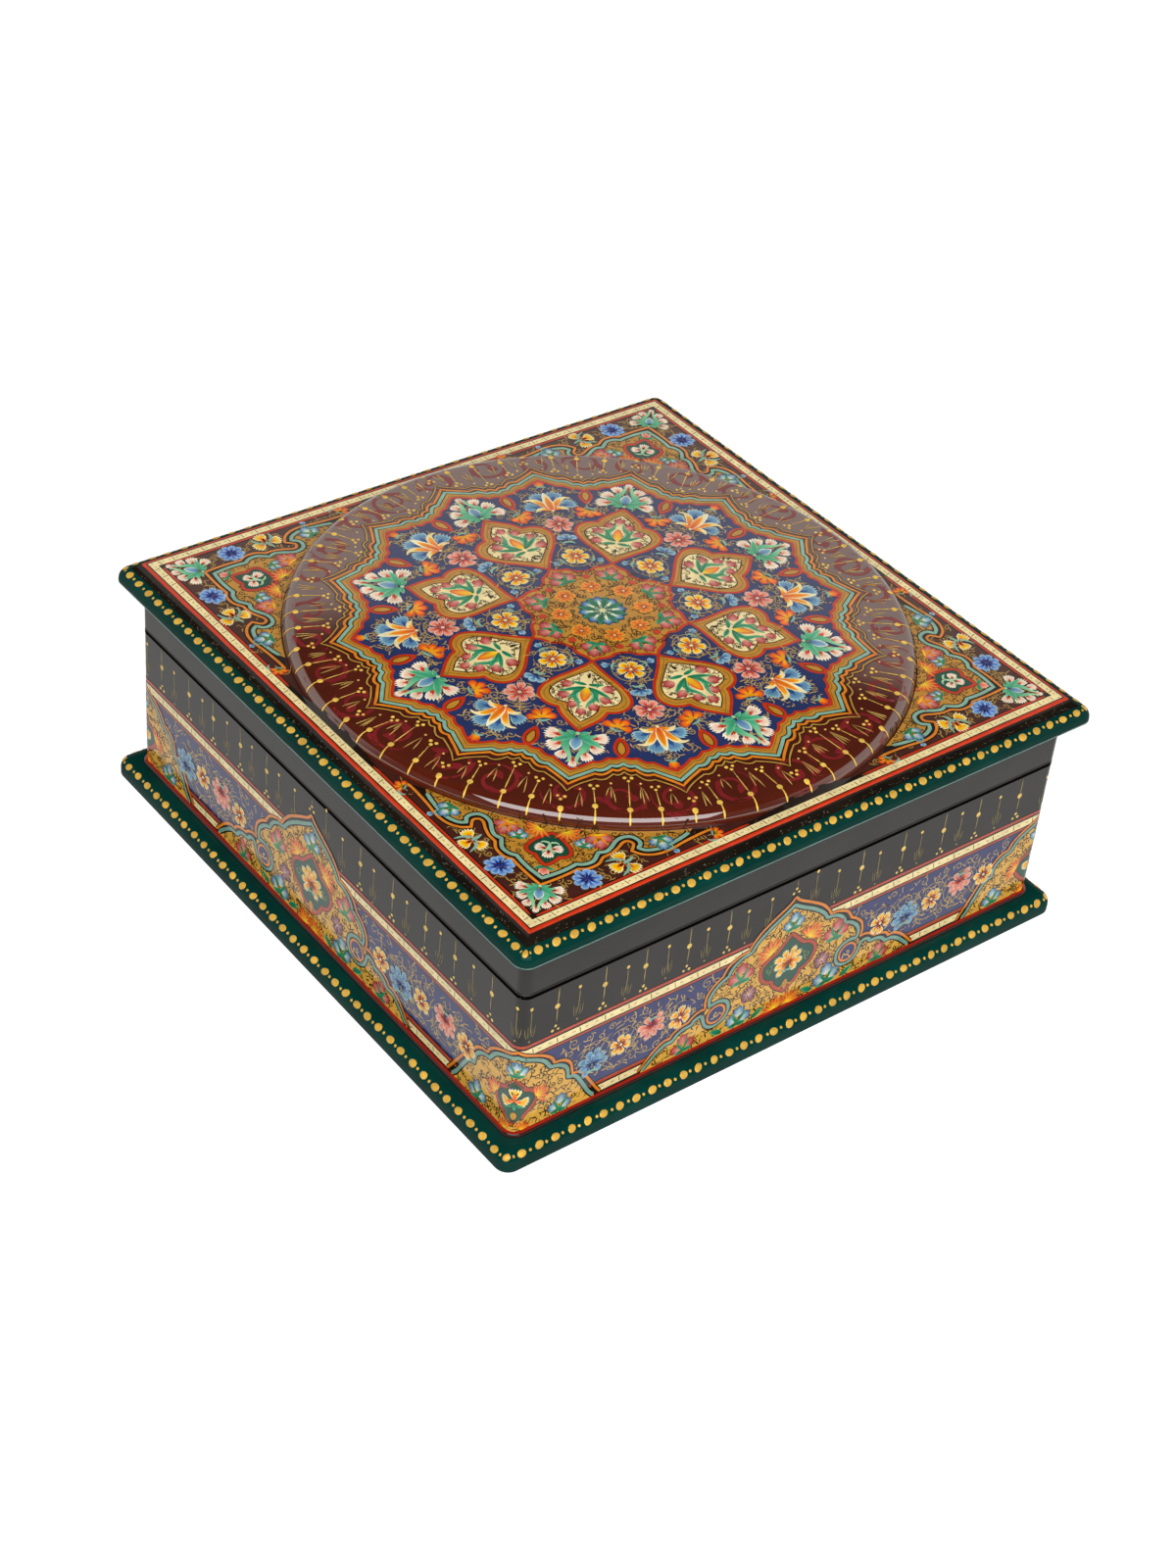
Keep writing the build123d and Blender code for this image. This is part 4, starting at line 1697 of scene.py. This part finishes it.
@dataclass
class DomePainting:
    """The dome's painting: a ring of eight cartouches round a star, inside sixteen scalloped lobes."""

    top: LidTop
    tilt: float = -1.0  # degrees that the hand-drawn pattern is turned from the sides
    cartouche: Sequence[Run] = (
        [(0, 57.3), (1.2, 55.9), (3.2, 53.8), (5.3, 51.3), (6.6, 49), (6.9, 47.7)],
        [
            (6.9, 47.7), (9.3, 47.2), (11.6, 45.6), (12.9, 43.2), (12.9, 40.6), (11.6, 37.8), (9.2, 34.8),
            (6, 31.8), (3.2, 29), (1.3, 26.8), (0, 24.9),
        ],
    )
    cream: Sequence[Run] = (
        [(0, 53.1), (1.4, 51.7), (3, 49.9), (4.1, 47.6), (4.3, 45.3)],
        [
            (4.3, 45.3), (6.6, 44.9), (8.9, 43.7), (10, 41.6), (9.7, 39.2), (8, 36.6), (5.2, 34),
            (2.4, 31.5), (0, 29.6),
        ],
    )
    star: Sequence[Point] = ((0, 25.2), (1.5, 23.7), (3.1, 22.9), (4.4, 22.3), (5.4, 21.2), (5.9, 20.1), (7.9, 19.1))

    def __post_init__(self) -> None:
        """Turns the pattern's own frame."""
        self.hub = Spot(0, 0, 90 - self.tilt)

    def axis(self, k: float, radius: float, side: float = 0.0, turn: float = 0.0) -> Spot:
        """A spot on the k-th of eight axes, at a radius and a distance to its right."""
        return Spot(0, 0, self.hub.heading + 360 / AXES * k).step(side, radius, turn)

    def star_line(self) -> Array:
        """The outline of the star round the middle."""
        half = np.array(self.star, float)
        point = np.vstack([(half * (-1, 1))[::-1], half[1:]])
        return np.vstack([self.axis(-k, 0).map(point[:-1]) for k in range(AXES)])

    def arabesques(self, canvas: Canvas) -> None:
        """Lays the soft crimson spirals of the rim, each with a round end and fat leaves."""
        dice = canvas.dice
        crimson, coat = plain(Hue.CRIMSON), Coat.UNDER + 0.004
        for k in range(32):
            hub = Spot(0, 0, 11.25 * k + dice.uniform(-1.5, 1.5)).step(0, 83.9 + dice.uniform(-0.8, 0.8))
            home = Spot(hub.x, hub.y, dice.uniform(0, 360), 1, k % 2 == 0)
            line = home.map(polar(np.linspace(0, dice.uniform(7.0, 8.6), 26), np.linspace(6.9, 2.2, 26)))
            canvas.stroke(line, [0.3, 1.1, 1.5, 1.0, 1.2], [Hue.CRIMSON], Coat.UNDER)
            end = Spot(*line[-1], dice.uniform(0, 360))
            canvas.dab(end.step(0, -1.6), Brush.DROP, 3.8, 3.2, crimson, coat, 0, 12, False)
            for i in (5, 13):
                way = line[i + 1] - line[i]
                at = Spot(*line[i], math.degrees(math.atan2(way[1], way[0])) + dice.uniform(-25, 25))
                long, wide, bend = dice.uniform(4.5, 6.5), dice.uniform(2.0, 3.0), dice.choice((-0.3, 0.3))
                canvas.dab(at.step(0, -2), Brush.DROP, long, wide, crimson, coat, bend, 12, False)

    def lobes(self, canvas: Canvas) -> None:
        """Lays the lobed grounds with their lines, and a drop in each lobe."""
        band = self.hub.map(scallops(76.3, (4.9, 71.7), (8.4, 69.6), 68.6, 0.1, 0.9))
        canvas.sheet(band, Hue.OCHRE, Coat.GROUND, 6)
        inner = self.hub.map(scallops(73.5, (4.4, 69.4), (7.9, 67.4), 66.6, -0.2, 0.8))
        canvas.sheet(inner, Hue.NAVY, Coat.BAND, 6)
        for line, width, hue in (
            (scallops(82.3, (5.2, 76.2), (8.9, 73.8), 72.8, 0.9, 1.2), 0.5, Hue.OLD_GOLD),
            (scallops(79.5, (5.1, 74.1), (8.8, 72.0), 71.1, 0.4, 1.1), 0.85, Hue.ORANGE),
            (scallops(77.3, (5.0, 72.5), (8.6, 70.3), 69.4, 0.1, 1.0), 1.05, Hue.TURQUOISE),
        ):
            canvas.rule(self.hub.map(line), (width + 0.6, Hue.BLACK, Coat.GROUND + 0.01), (width, hue, Coat.BAND))
        middle = scallops(74.8, (4.6, 70.5), (8.1, 68.5), 67.6, 0.0, 0.8)
        canvas.rule(self.hub.map(middle), (0.3, Hue.BRONZE, Coat.BAND))
        canvas.rule(inner, (0.95, Hue.RED, Coat.PANEL))
        for k in range(LOBES):
            drop = self.axis(k / 2 + 0.25, 67.2)
            for start, long, wide, hue, coat in (
                (0, 8.8, 4.1, Hue.RED, Coat.PANEL + 0.01), (-1.1, 5.9, 2.4, Hue.UMBER, Coat.CREAM),
                (-1.4, 5.2, 1.8, Hue.OCHRE, Coat.CREAM + 0.01),
            ):
                canvas.dab(drop.step(0, start, 180), Brush.LEAF, long, wide, plain(hue), coat, corners=16)

    def grounds(self) -> None:
        """Lays the coloured grounds and their outlines."""
        canvas = Canvas(self.top, 31)
        self.arabesques(canvas)
        self.lobes(canvas)
        outer, cream = mirrored(self.cartouche), mirrored(self.cream)
        for k in range(AXES):
            spot = self.axis(k, 0)
            canvas.sheet(spot.map(outer), Hue.OCHRE, Coat.PANEL, 6)
            canvas.rule(spot.map(shrunk(outer, 1.6)), (0.22, Hue.BRONZE, Coat.CREAM))
            canvas.rule(spot.map(shrunk(outer, 0.1)), (0.95, Hue.RED, Coat.CREAM))
            canvas.sheet(spot.map(cream), Hue.CREAM, Coat.CREAM + 0.005, 6)
            canvas.rule(spot.map(cream), (0.4, Hue.UMBER, Coat.CREAM + 0.01))
        star = self.star_line()
        canvas.sheet(star, Hue.OCHRE, Coat.PANEL, 6)
        canvas.rule(star, (1.05, Hue.RED, Coat.CREAM))
        turn = np.linspace(0, 2 * math.pi, 65)[:-1]
        canvas.sheet(polar(turn, 6.9 + 0.45 * np.cos(16 * turn)), Hue.ROSETTE, Coat.CREAM, 4)
        canvas.build("dome_grounds", "lid")

    def flowers(self) -> None:
        """Paints the flowers, leaves and buds."""
        canvas = Canvas(self.top, 32)
        yellow = blossom(8.2, 6, YELLOW_PETAL)
        pink = blossom(8.8, 7, PINK_PETAL, "e6c4b0")
        orange = blossom(6.0, 6, AMBER_PETAL, "f4dc9c")
        for k in range(AXES):
            gap = k + 0.5
            paint(canvas, LOTUS, self.axis(k, 58.3))
            paint(canvas, POSY, self.axis(k, 37.6))
            paint(canvas, LILY, self.axis(gap, 54.8))
            paint(canvas, BUD, self.axis(gap, 69.4))
            pink(canvas, self.axis(gap, 47.2))
            paint(canvas, BLUE_SPRIG, self.axis(gap, 38.4))
            yellow(canvas, self.axis(gap, 28.9))
            orange(canvas, self.axis(gap, 12.4))
            paint(canvas, TRIO, self.axis(k, 16.8))
            canvas.dab(self.axis(gap, 16.6), Brush.DISC, 2.4, 2.4, plain(Hue.POPPY), Coat.PETAL, corners=12)
            canvas.dab(self.axis(k, 0.6), Brush.LEAF, 6.9, 2.0, ROSETTE_LEAF, Coat.HEART)
            canvas.dab(self.axis(gap, 0.4), Brush.FRILL, 6.5, 3.0, ROSETTE_PETAL, Coat.PETAL)
            canvas.dab(self.axis(gap, 0.6), Brush.LEAF, 4.8, 0.9, ROSETTE_RAY, Coat.HEART)
            for side in (-1, 1):
                paint(canvas, ORANGE_FAN, self.axis(k, 53.4, 10.4 * side, 180 - 14 * side))
                paint(canvas, BLUE_BUD, self.axis(k, 26.3, 4.9 * side, -90 * side))
        canvas.dab(Spot(0, -0.9), Brush.DISC, 1.8, 1.8, plain(Hue.STAMEN), Coat.SPARK)
        canvas.build("dome_flowers", "lid")

    def tendrils(self) -> None:
        """Fills the navy and ochre grounds with tendrils."""
        canvas = Canvas(self.top, 33)
        navy = self.hub.map(scallops(71.6, (3.4, 67.8), (6.4, 65.4), 64.8, 0.0, 0.5))
        frame_line = shrunk(mirrored(self.cartouche, 3), -1.5)
        taken = [*(self.axis(k, 0).map(frame_line) for k in range(AXES)), shrunk(self.star_line(), -1.5)]
        spots = [self.axis(k / 2 + 0.25, 62.6) for k in range(LOBES)]
        drops = np.array([(spot.x, spot.y) for spot in spots])

        def open_navy(points: Array) -> Array:
            free = within(points, navy) & (np.hypot(*(points[:, None] - drops).transpose(2, 0, 1)).min(1) > 4.3)
            return free & ~np.any([within(points, loop) for loop in taken], axis=0)

        scatter(canvas, open_navy, ((-74, -74), (74, 74)), 3.2, 1.45, 0.34, Hue.VINE, Coat.SCROLL, Hue.TENDRIL)
        for k in range(AXES):
            for centre in (28.9, 47.2):
                rings(canvas, self.axis(k + 0.5, centre), (5.4, 6.7), open_navy, 13, Coat.SCROLL)
        star = lambda p: (np.hypot(*p.T) > 8.0) & (np.hypot(*p.T) < 21.5)
        scatter(canvas, star, ((-24, -24), (24, 24)), 2.7, 1.3, 0.34, Hue.UMBER, Coat.SCROLL)
        cream = mirrored(self.cream)
        for k in range(AXES):
            spot = self.axis(k, 0)
            loop, heart = spot.map(shrunk(cream, 0.5)), spot.map(shrunk(cream, 2.7))
            scatter(
                canvas, lambda p: within(p, loop) & ~within(p, heart), loop, 1.8, 0.78, 0.3, Hue.UMBER, Coat.SCROLL
            )
            canvas.dab(spot.step(0, 33.4, 180), Brush.LEAF, 2.2, 0.9, plain(Hue.UMBER), Coat.SCROLL)
        canvas.build("dome_tendrils", "lid")

    def hang_beads(self, canvas: Canvas, axis: Spot, quarter: int) -> None:
        """Hangs a gilt bead and three dots on their thread, by its place from 0 on a peak to 3."""
        dice = canvas.dice
        on_peak, foot = quarter == 0, (85.2, 79.6, 75.9, 79.6)[quarter]
        bead = 89.2 if on_peak else 87.2 + dice.uniform(-0.7, 0.7)
        lean = dice.uniform(-1.2, 1.2)
        canvas.bead(axis.step(lean * 0.2, bead - 0.95), 1.95, 1.8, 0.16, Hue.GILT)
        loop = axis.map(flow([(0, 91.55), (0, 91), (0, 90.2), (lean * 0.2, bead + 0.4)], 4))
        canvas.stroke(loop, [0.3, 0.55, 0.5, 0.4, 0.3], [Hue.GILT], 0.08)
        if not on_peak:
            line = axis.map(flow([(lean * 0.2, bead - 0.8), (lean * 0.6, (bead + foot) / 2), (lean, foot + 0.9)], 3))
            canvas.stroke(line, [0.42, 0.25, 0.14], [Hue.GILT, Hue.DULL_GILT], 0.07)
        for x, y in ((0, 0.6), (-0.95, -0.65), (0.95, -0.65)):
            size = dice.uniform(0.95, 1.2)
            canvas.bead(axis.step(lean + x, foot + y - size / 2), size, size, 0.12, Hue.GILT)

    def hang_grass(self, canvas: Canvas, spray: Spot, low: float) -> None:
        """Paints a spray of two or three blades of grass over a dot."""
        dice = canvas.dice
        canvas.bead(spray.step(0, low - 0.4), 0.75, 0.75, 0.1, Hue.DULL_GILT)
        count = dice.choice((2, 3, 3))
        for blade in range(count):
            lean = 1.1 * (2 * blade / (count - 1) - 1) + dice.uniform(-0.4, 0.4)
            high = low + dice.uniform(5.0, 8.6)
            line = spray.map(flow([(0, low + 1.2), (lean * 0.55, (low + high) / 2), (lean, high)], 3))
            canvas.stroke(line, [0.1, 0.2, 0.34, 0.15], [Hue.STEM, Hue.DULL_GILT], 0.06)

    def pendants(self) -> None:
        """Hangs the gilt beads, dots and grass sprays round the rim."""
        canvas = Canvas(self.top, 34)
        dice, pitch = canvas.dice, 360 / PENDANTS
        for k in range(PENDANTS):
            a = self.hub.heading + pitch * k + dice.uniform(-0.5, 0.5)
            self.hang_beads(canvas, Spot(0, 0, a), k % 4)
            low = (80.9, 77.9, 77.9, 80.9)[k % 4] + dice.uniform(-0.4, 0.4)
            self.hang_grass(canvas, Spot(0, 0, a + pitch / 2), low)
        canvas.build("dome_pendants", "lid", Finish.GOLD)

    def build(self) -> None:
        """Paints the dome."""
        self.grounds()
        self.flowers()
        self.tendrils()
        self.pendants()


@dataclass
class FieldPainting:
    """The square field round the dome: its ruled border, and a spandrel and flowers in each corner."""

    top: LidTop
    border: Sequence[tuple[float, float, str]] = (
        (95.95, 95.6, Hue.VERMILION), (95.6, 95, Hue.VERMILION), (95, 94.6, Hue.BLACK),
        (94.6, 92.35, Hue.CREAM), (92.35, 90.9, Hue.BLACK),
    )
    ruled_line: float = 93.45  # level of the middle of the cream band
    red_line: float = 91.65
    spandrel: Arch = Arch(
        outer=(
            [(0, 116.8), (2.7, 114.4), (5.7, 111.5), (8.6, 108.3)],
            [(8.6, 108.3), (11, 107.6), (13.4, 105.2), (14.2, 102.3), (14.6, 101.7)],
            [
                (14.6, 101.7), (16.2, 100), (17.5, 97.6), (18.5, 95), (19.7, 94), (21.2, 94.6), (21.4, 96),
                (21.2, 97.8),
            ],
            [
                (21.2, 97.8), (24.2, 98.5), (27.7, 97.6), (31, 95), (33.7, 91.5), (36.7, 88), (39.5, 85),
                (41.2, 83.6),
            ],
        ),
        inner=(
            [(0, 114), (3.5, 111.2), (6, 108.7), (7.8, 106.5)],
            [(7.8, 106.5), (10, 106), (12, 104.2), (12.6, 101.6), (12.8, 100.5)],
            [
                (12.8, 100.5), (14.8, 99.5), (15.9, 97.3), (16.7, 94.6), (18.2, 92.8), (20.2, 92),
                (22.2, 92.8), (23.1, 94.3), (22.8, 96.2),
            ],
            [(22.8, 96.2), (25.2, 96.5), (28.7, 94.8), (31.5, 91.7), (33.7, 88.8), (35.2, 86.4)],
        ),
        foot=polar(np.radians(np.linspace(22.9, -22.9, 31)), 92),
    )
    drop: Sequence[Run] = (
        [(0, 108.8), (1.5, 107.4), (2.6, 105.9), (3.1, 104.9)],
        [(3.1, 104.9), (4.8, 104.4), (5.9, 102.9), (5.5, 101), (4.2, 98.9), (2.2, 96.8), (0, 95.3)],
    )

    def rules(self) -> None:
        """Rules the border round the field, with its worn flecks outside it."""
        canvas = Canvas(self.top, 51)
        dice = canvas.dice

        def edge(level: float) -> Array:
            wobble = np.array([0, *(dice.uniform(-0.05, 0.05) for _ in range(31)), 0])
            return np.column_stack([np.linspace(-1, 1, 33) * level, level + wobble])

        for k in range(4):
            side = Spot(0, 0, 90 * k)
            upper = edge(self.border[0][0])
            for _, inner, hue in self.border:
                lower = edge(inner)
                if inner == BOX.panel_top:
                    lower[:, 1] = inner
                coat = Coat.BAND if hue == Hue.CREAM else Coat.GROUND
                canvas.sheet(side.map(np.vstack([upper, lower[::-1]])), hue, coat, 50)
                upper = lower
            start, end = side.map([(-93.4, self.ruled_line), (93.4, self.ruled_line)])
            ruled(canvas, start, end, 1.05, 4.6)
            for way in (-1, 1):
                line = np.column_stack([way * np.linspace(dice.uniform(18, 23), 91.6, 24), np.full(24, self.red_line)])
                canvas.rule(side.map(line), (0.8, Hue.RED, Coat.BAND), closed=False)
        for _ in range(900):
            place = (dice.uniform(-95, 95), dice.triangular(96.2, 98.2, 97.8))
            mark = Spot(0, 0, 90 * dice.randrange(4)).step(*place, dice.uniform(60, 120))
            long, wide, worn = dice.uniform(0.3, 1.0), dice.uniform(0.1, 0.2), dice.choice(("4a4439", "6f6959"))
            canvas.dab(mark, Brush.DROP, long, wide, plain(worn), Coat.UNDER, 0, 5, False)
        canvas.build("field_border", "lid")

    def corners(self) -> None:
        """Lays the maroon corner grounds and the spandrels on them, with their scrolls."""
        canvas, scrolls = Canvas(self.top, 52), Canvas(self.top, 53)
        bow = polar(np.radians(np.linspace(44, -44, 61)), BOX.dome_radius + 0.08)
        maroon = np.vstack([[(-64.5, 64.3), (0, 128.3), (64.5, 64.3)], bow])
        for k in range(4):
            home = Spot(0, 0, 45 + 90 * k)
            ground = home.map(maroon)
            canvas.sheet(ground, Hue.CORNER_MAROON, Coat.UNDER, 9)
            ochre = self.spandrel.lay(canvas, home, Hue.OCHRE, Hue.TURQUOISE)
            drop = home.map(mirrored(self.drop))
            canvas.sheet(drop, Hue.DROP_GREEN, Coat.LINE, 5)
            canvas.rule(drop, (1.4, Hue.UMBER, Coat.LINE + 0.005), (1.0, Hue.RED, Coat.LEAF))
            in_spandrel = lambda p: within(p, ochre) & ~within(p, drop)
            scatter(scrolls, in_spandrel, ochre, 2.7, 1.3, 0.32, Hue.UMBER, Coat.SCROLL)
            gap = home.map(np.vstack([arch(self.spandrel.outer), self.spandrel.foot]))

            def open_ground(p: Array) -> Array:
                clear = (np.abs(p).max(1) < 89.4) & (np.hypot(*p.T) > 93)
                return within(p, ground) & ~within(p, gap) & clear

            scatter(scrolls, open_ground, ground, 3.3, 1.5, 0.4, Hue.SPIRAL, Coat.BAND)
        canvas.build("field_grounds", "lid")
        scrolls.build("field_scrolls", "lid")

    def flowers(self) -> None:
        """Paints the flowers of the corners."""
        canvas = Canvas(self.top, 54)
        corn = blossom(8.0, 9, CORN_PETAL, "1c3484", plump=1.0)
        bud = [Touch(Brush.BUD, 0, 0, 0, 3.0, 2.8, PINK_PETAL), Touch(Brush.LEAF, 0, -0.4, 72, 2.9, 1.1, DARK_LEAF)]
        hook = calyx([(-1.8, 0.4), (-0.6, 1.4), (0.8, 1.2), (1.8, 0.2)], [0.4, 0.9, 0.8, 0.3])
        for k in range(4):
            home = Spot(0, 0, 45 + 90 * k)
            paint(canvas, LOTUS, home.step(0, 117.4, 0, 0.76))
            paint(canvas, bud, home.step(0, 109.8))
            paint(canvas, WHITE_TRIO, home.step(0, 102.2, 0, 0.85))
            for side in (-1, 1):
                corn(canvas, home.step(11.4 * side, 111.7))
                flank(
                    canvas, home, side, (8.7, 99.2, 180, 0.62, BLUE_TRIO), (3.6, 94.0, 34, 0.85, FLAME_FAN),
                    (11.8, 93.6, 18, 0.86, FLAME_TRIO), (27.6, 90.6, 28, 0.8, BLUE_TRIO),
                    (20, 103.2, 40 * side, 1.1, YELLOW_TRIO), (31.9, 94.6, 62, 0.8, BLUE_BUD),
                    (42, 85.3, 100, 0.6, ORANGE_FAN),
                )
                hook.put(canvas, home.step(41.4 * side, 87.4, 30 * side, 0.8))
        canvas.build("field_flowers", "lid")

    def build(self) -> None:
        """Paints the field."""
        self.rules()
        self.corners()
        self.flowers()


# ---- the studio


@dataclass(frozen=True)
class Studio:
    """A pale floor, soft light and the camera."""

    camera_place: Place = (-0.42836, -0.49731, 0.53367)
    camera_turn: Place = (51.9086, -4.6375, -37.1939)
    lens: float = 63.348
    floor_half: float = 4.0

    def floor(self) -> None:
        """Lays the floor, white to the camera and grey to the light that it throws back."""
        Bench.clear()
        bpy.ops.mesh.primitive_plane_add(size=2 * self.floor_half, location=(0, 0, -0.00005))
        floor = Bench.name("floor")
        n = Nodes(bpy.data.materials.new("studio_floor"))
        ray, *others = (n.add("LightPath", out=f"Is {kind} Ray") for kind in ("Camera", "Glossy", "Transmission"))
        for other in others:
            ray = n.add("Math", {0: ray, 1: other}, operation="MAXIMUM")
        share = n.add("Math", {0: ray, 1: 0.9}, operation="MULTIPLY")
        n.set(Base_Color=(0.3, 0.3, 0.3, 1), Roughness=0.9, Specular_IOR_Level=0.0)
        n.set(Emission_Color=(1, 1, 1, 1), Emission_Strength=share)
        floor.data.materials.append(n.owner)

    def world(self) -> None:
        """Makes the surroundings: pale low down behind the box, dim elsewhere."""
        n = Nodes(bpy.data.worlds.new("studio"), "Background")
        bpy.context.scene.world = n.owner
        place = n.add("TexCoord", out="Generated")
        height = n.add("SeparateXYZ", {0: place}, "Z")
        low = n.remap(height, 1.0, 0.03, 0.545, 0.6, interpolation_type="SMOOTHSTEP")
        away = n.add("VectorMath", {0: place, 1: (0.656, 0.755, 0)}, "Value", operation="DOT_PRODUCT")
        behind = n.remap(away, 0.12, 1.0, -0.35, 0.1)
        n.set(Strength=n.add("Math", {0: low, 1: behind}, operation="MULTIPLY"), Color=(1, 0.95, 0.88, 1))

    def lamp(self, name: str, place: Place, size: Point, power: float, mirrored: bool = True) -> None:
        """Stands a soft box that looks at the box on the floor, and says whether lacquer mirrors it."""
        Bench.clear()
        bpy.ops.object.light_add(type="AREA", location=place)
        lamp = bpy.context.active_object
        lamp.name = name
        lamp.data.shape = "RECTANGLE"
        lamp.data.size, lamp.data.size_y = size
        lamp.data.energy = power
        lamp.visible_glossy = mirrored
        lamp.rotation_mode = "QUATERNION"
        lamp.rotation_quaternion = (Vector((0, 0, 0.05)) - Vector(place)).to_track_quat("-Z", "Y")

    def build(self) -> None:
        """Sets up the studio."""
        self.floor()
        self.world()
        self.lamp("camera_softbox", (-0.951, -1.41, 1.014), (2.5, 1.8), 24.5, False)
        self.lamp("high_softbox", (-0.796, -1.181, 1.375), (2.5, 1.136), 35)
        Bench.clear()
        turn = Euler([math.radians(a) for a in self.camera_turn])
        bpy.ops.object.camera_add(location=self.camera_place, rotation=turn)
        camera = bpy.context.active_object
        camera.data.lens = self.lens
        camera.data.sensor_width = 36
        camera.data.clip_start, camera.data.clip_end = 0.01, 20
        bpy.context.scene.camera = camera
        bpy.context.scene.view_settings.view_transform = "Standard"


def main() -> None:
    """Builds every sub-assembly and sets up the studio."""
    logging.basicConfig(level=logging.INFO, format="%(message)s")
    top = LidTop()
    Plinth().build()
    Walls().build()
    LidMouldings().build(top)
    DomePainting(top).build()
    FieldPainting(top).build()
    Studio().build()


if __name__ == "__main__":
    main()
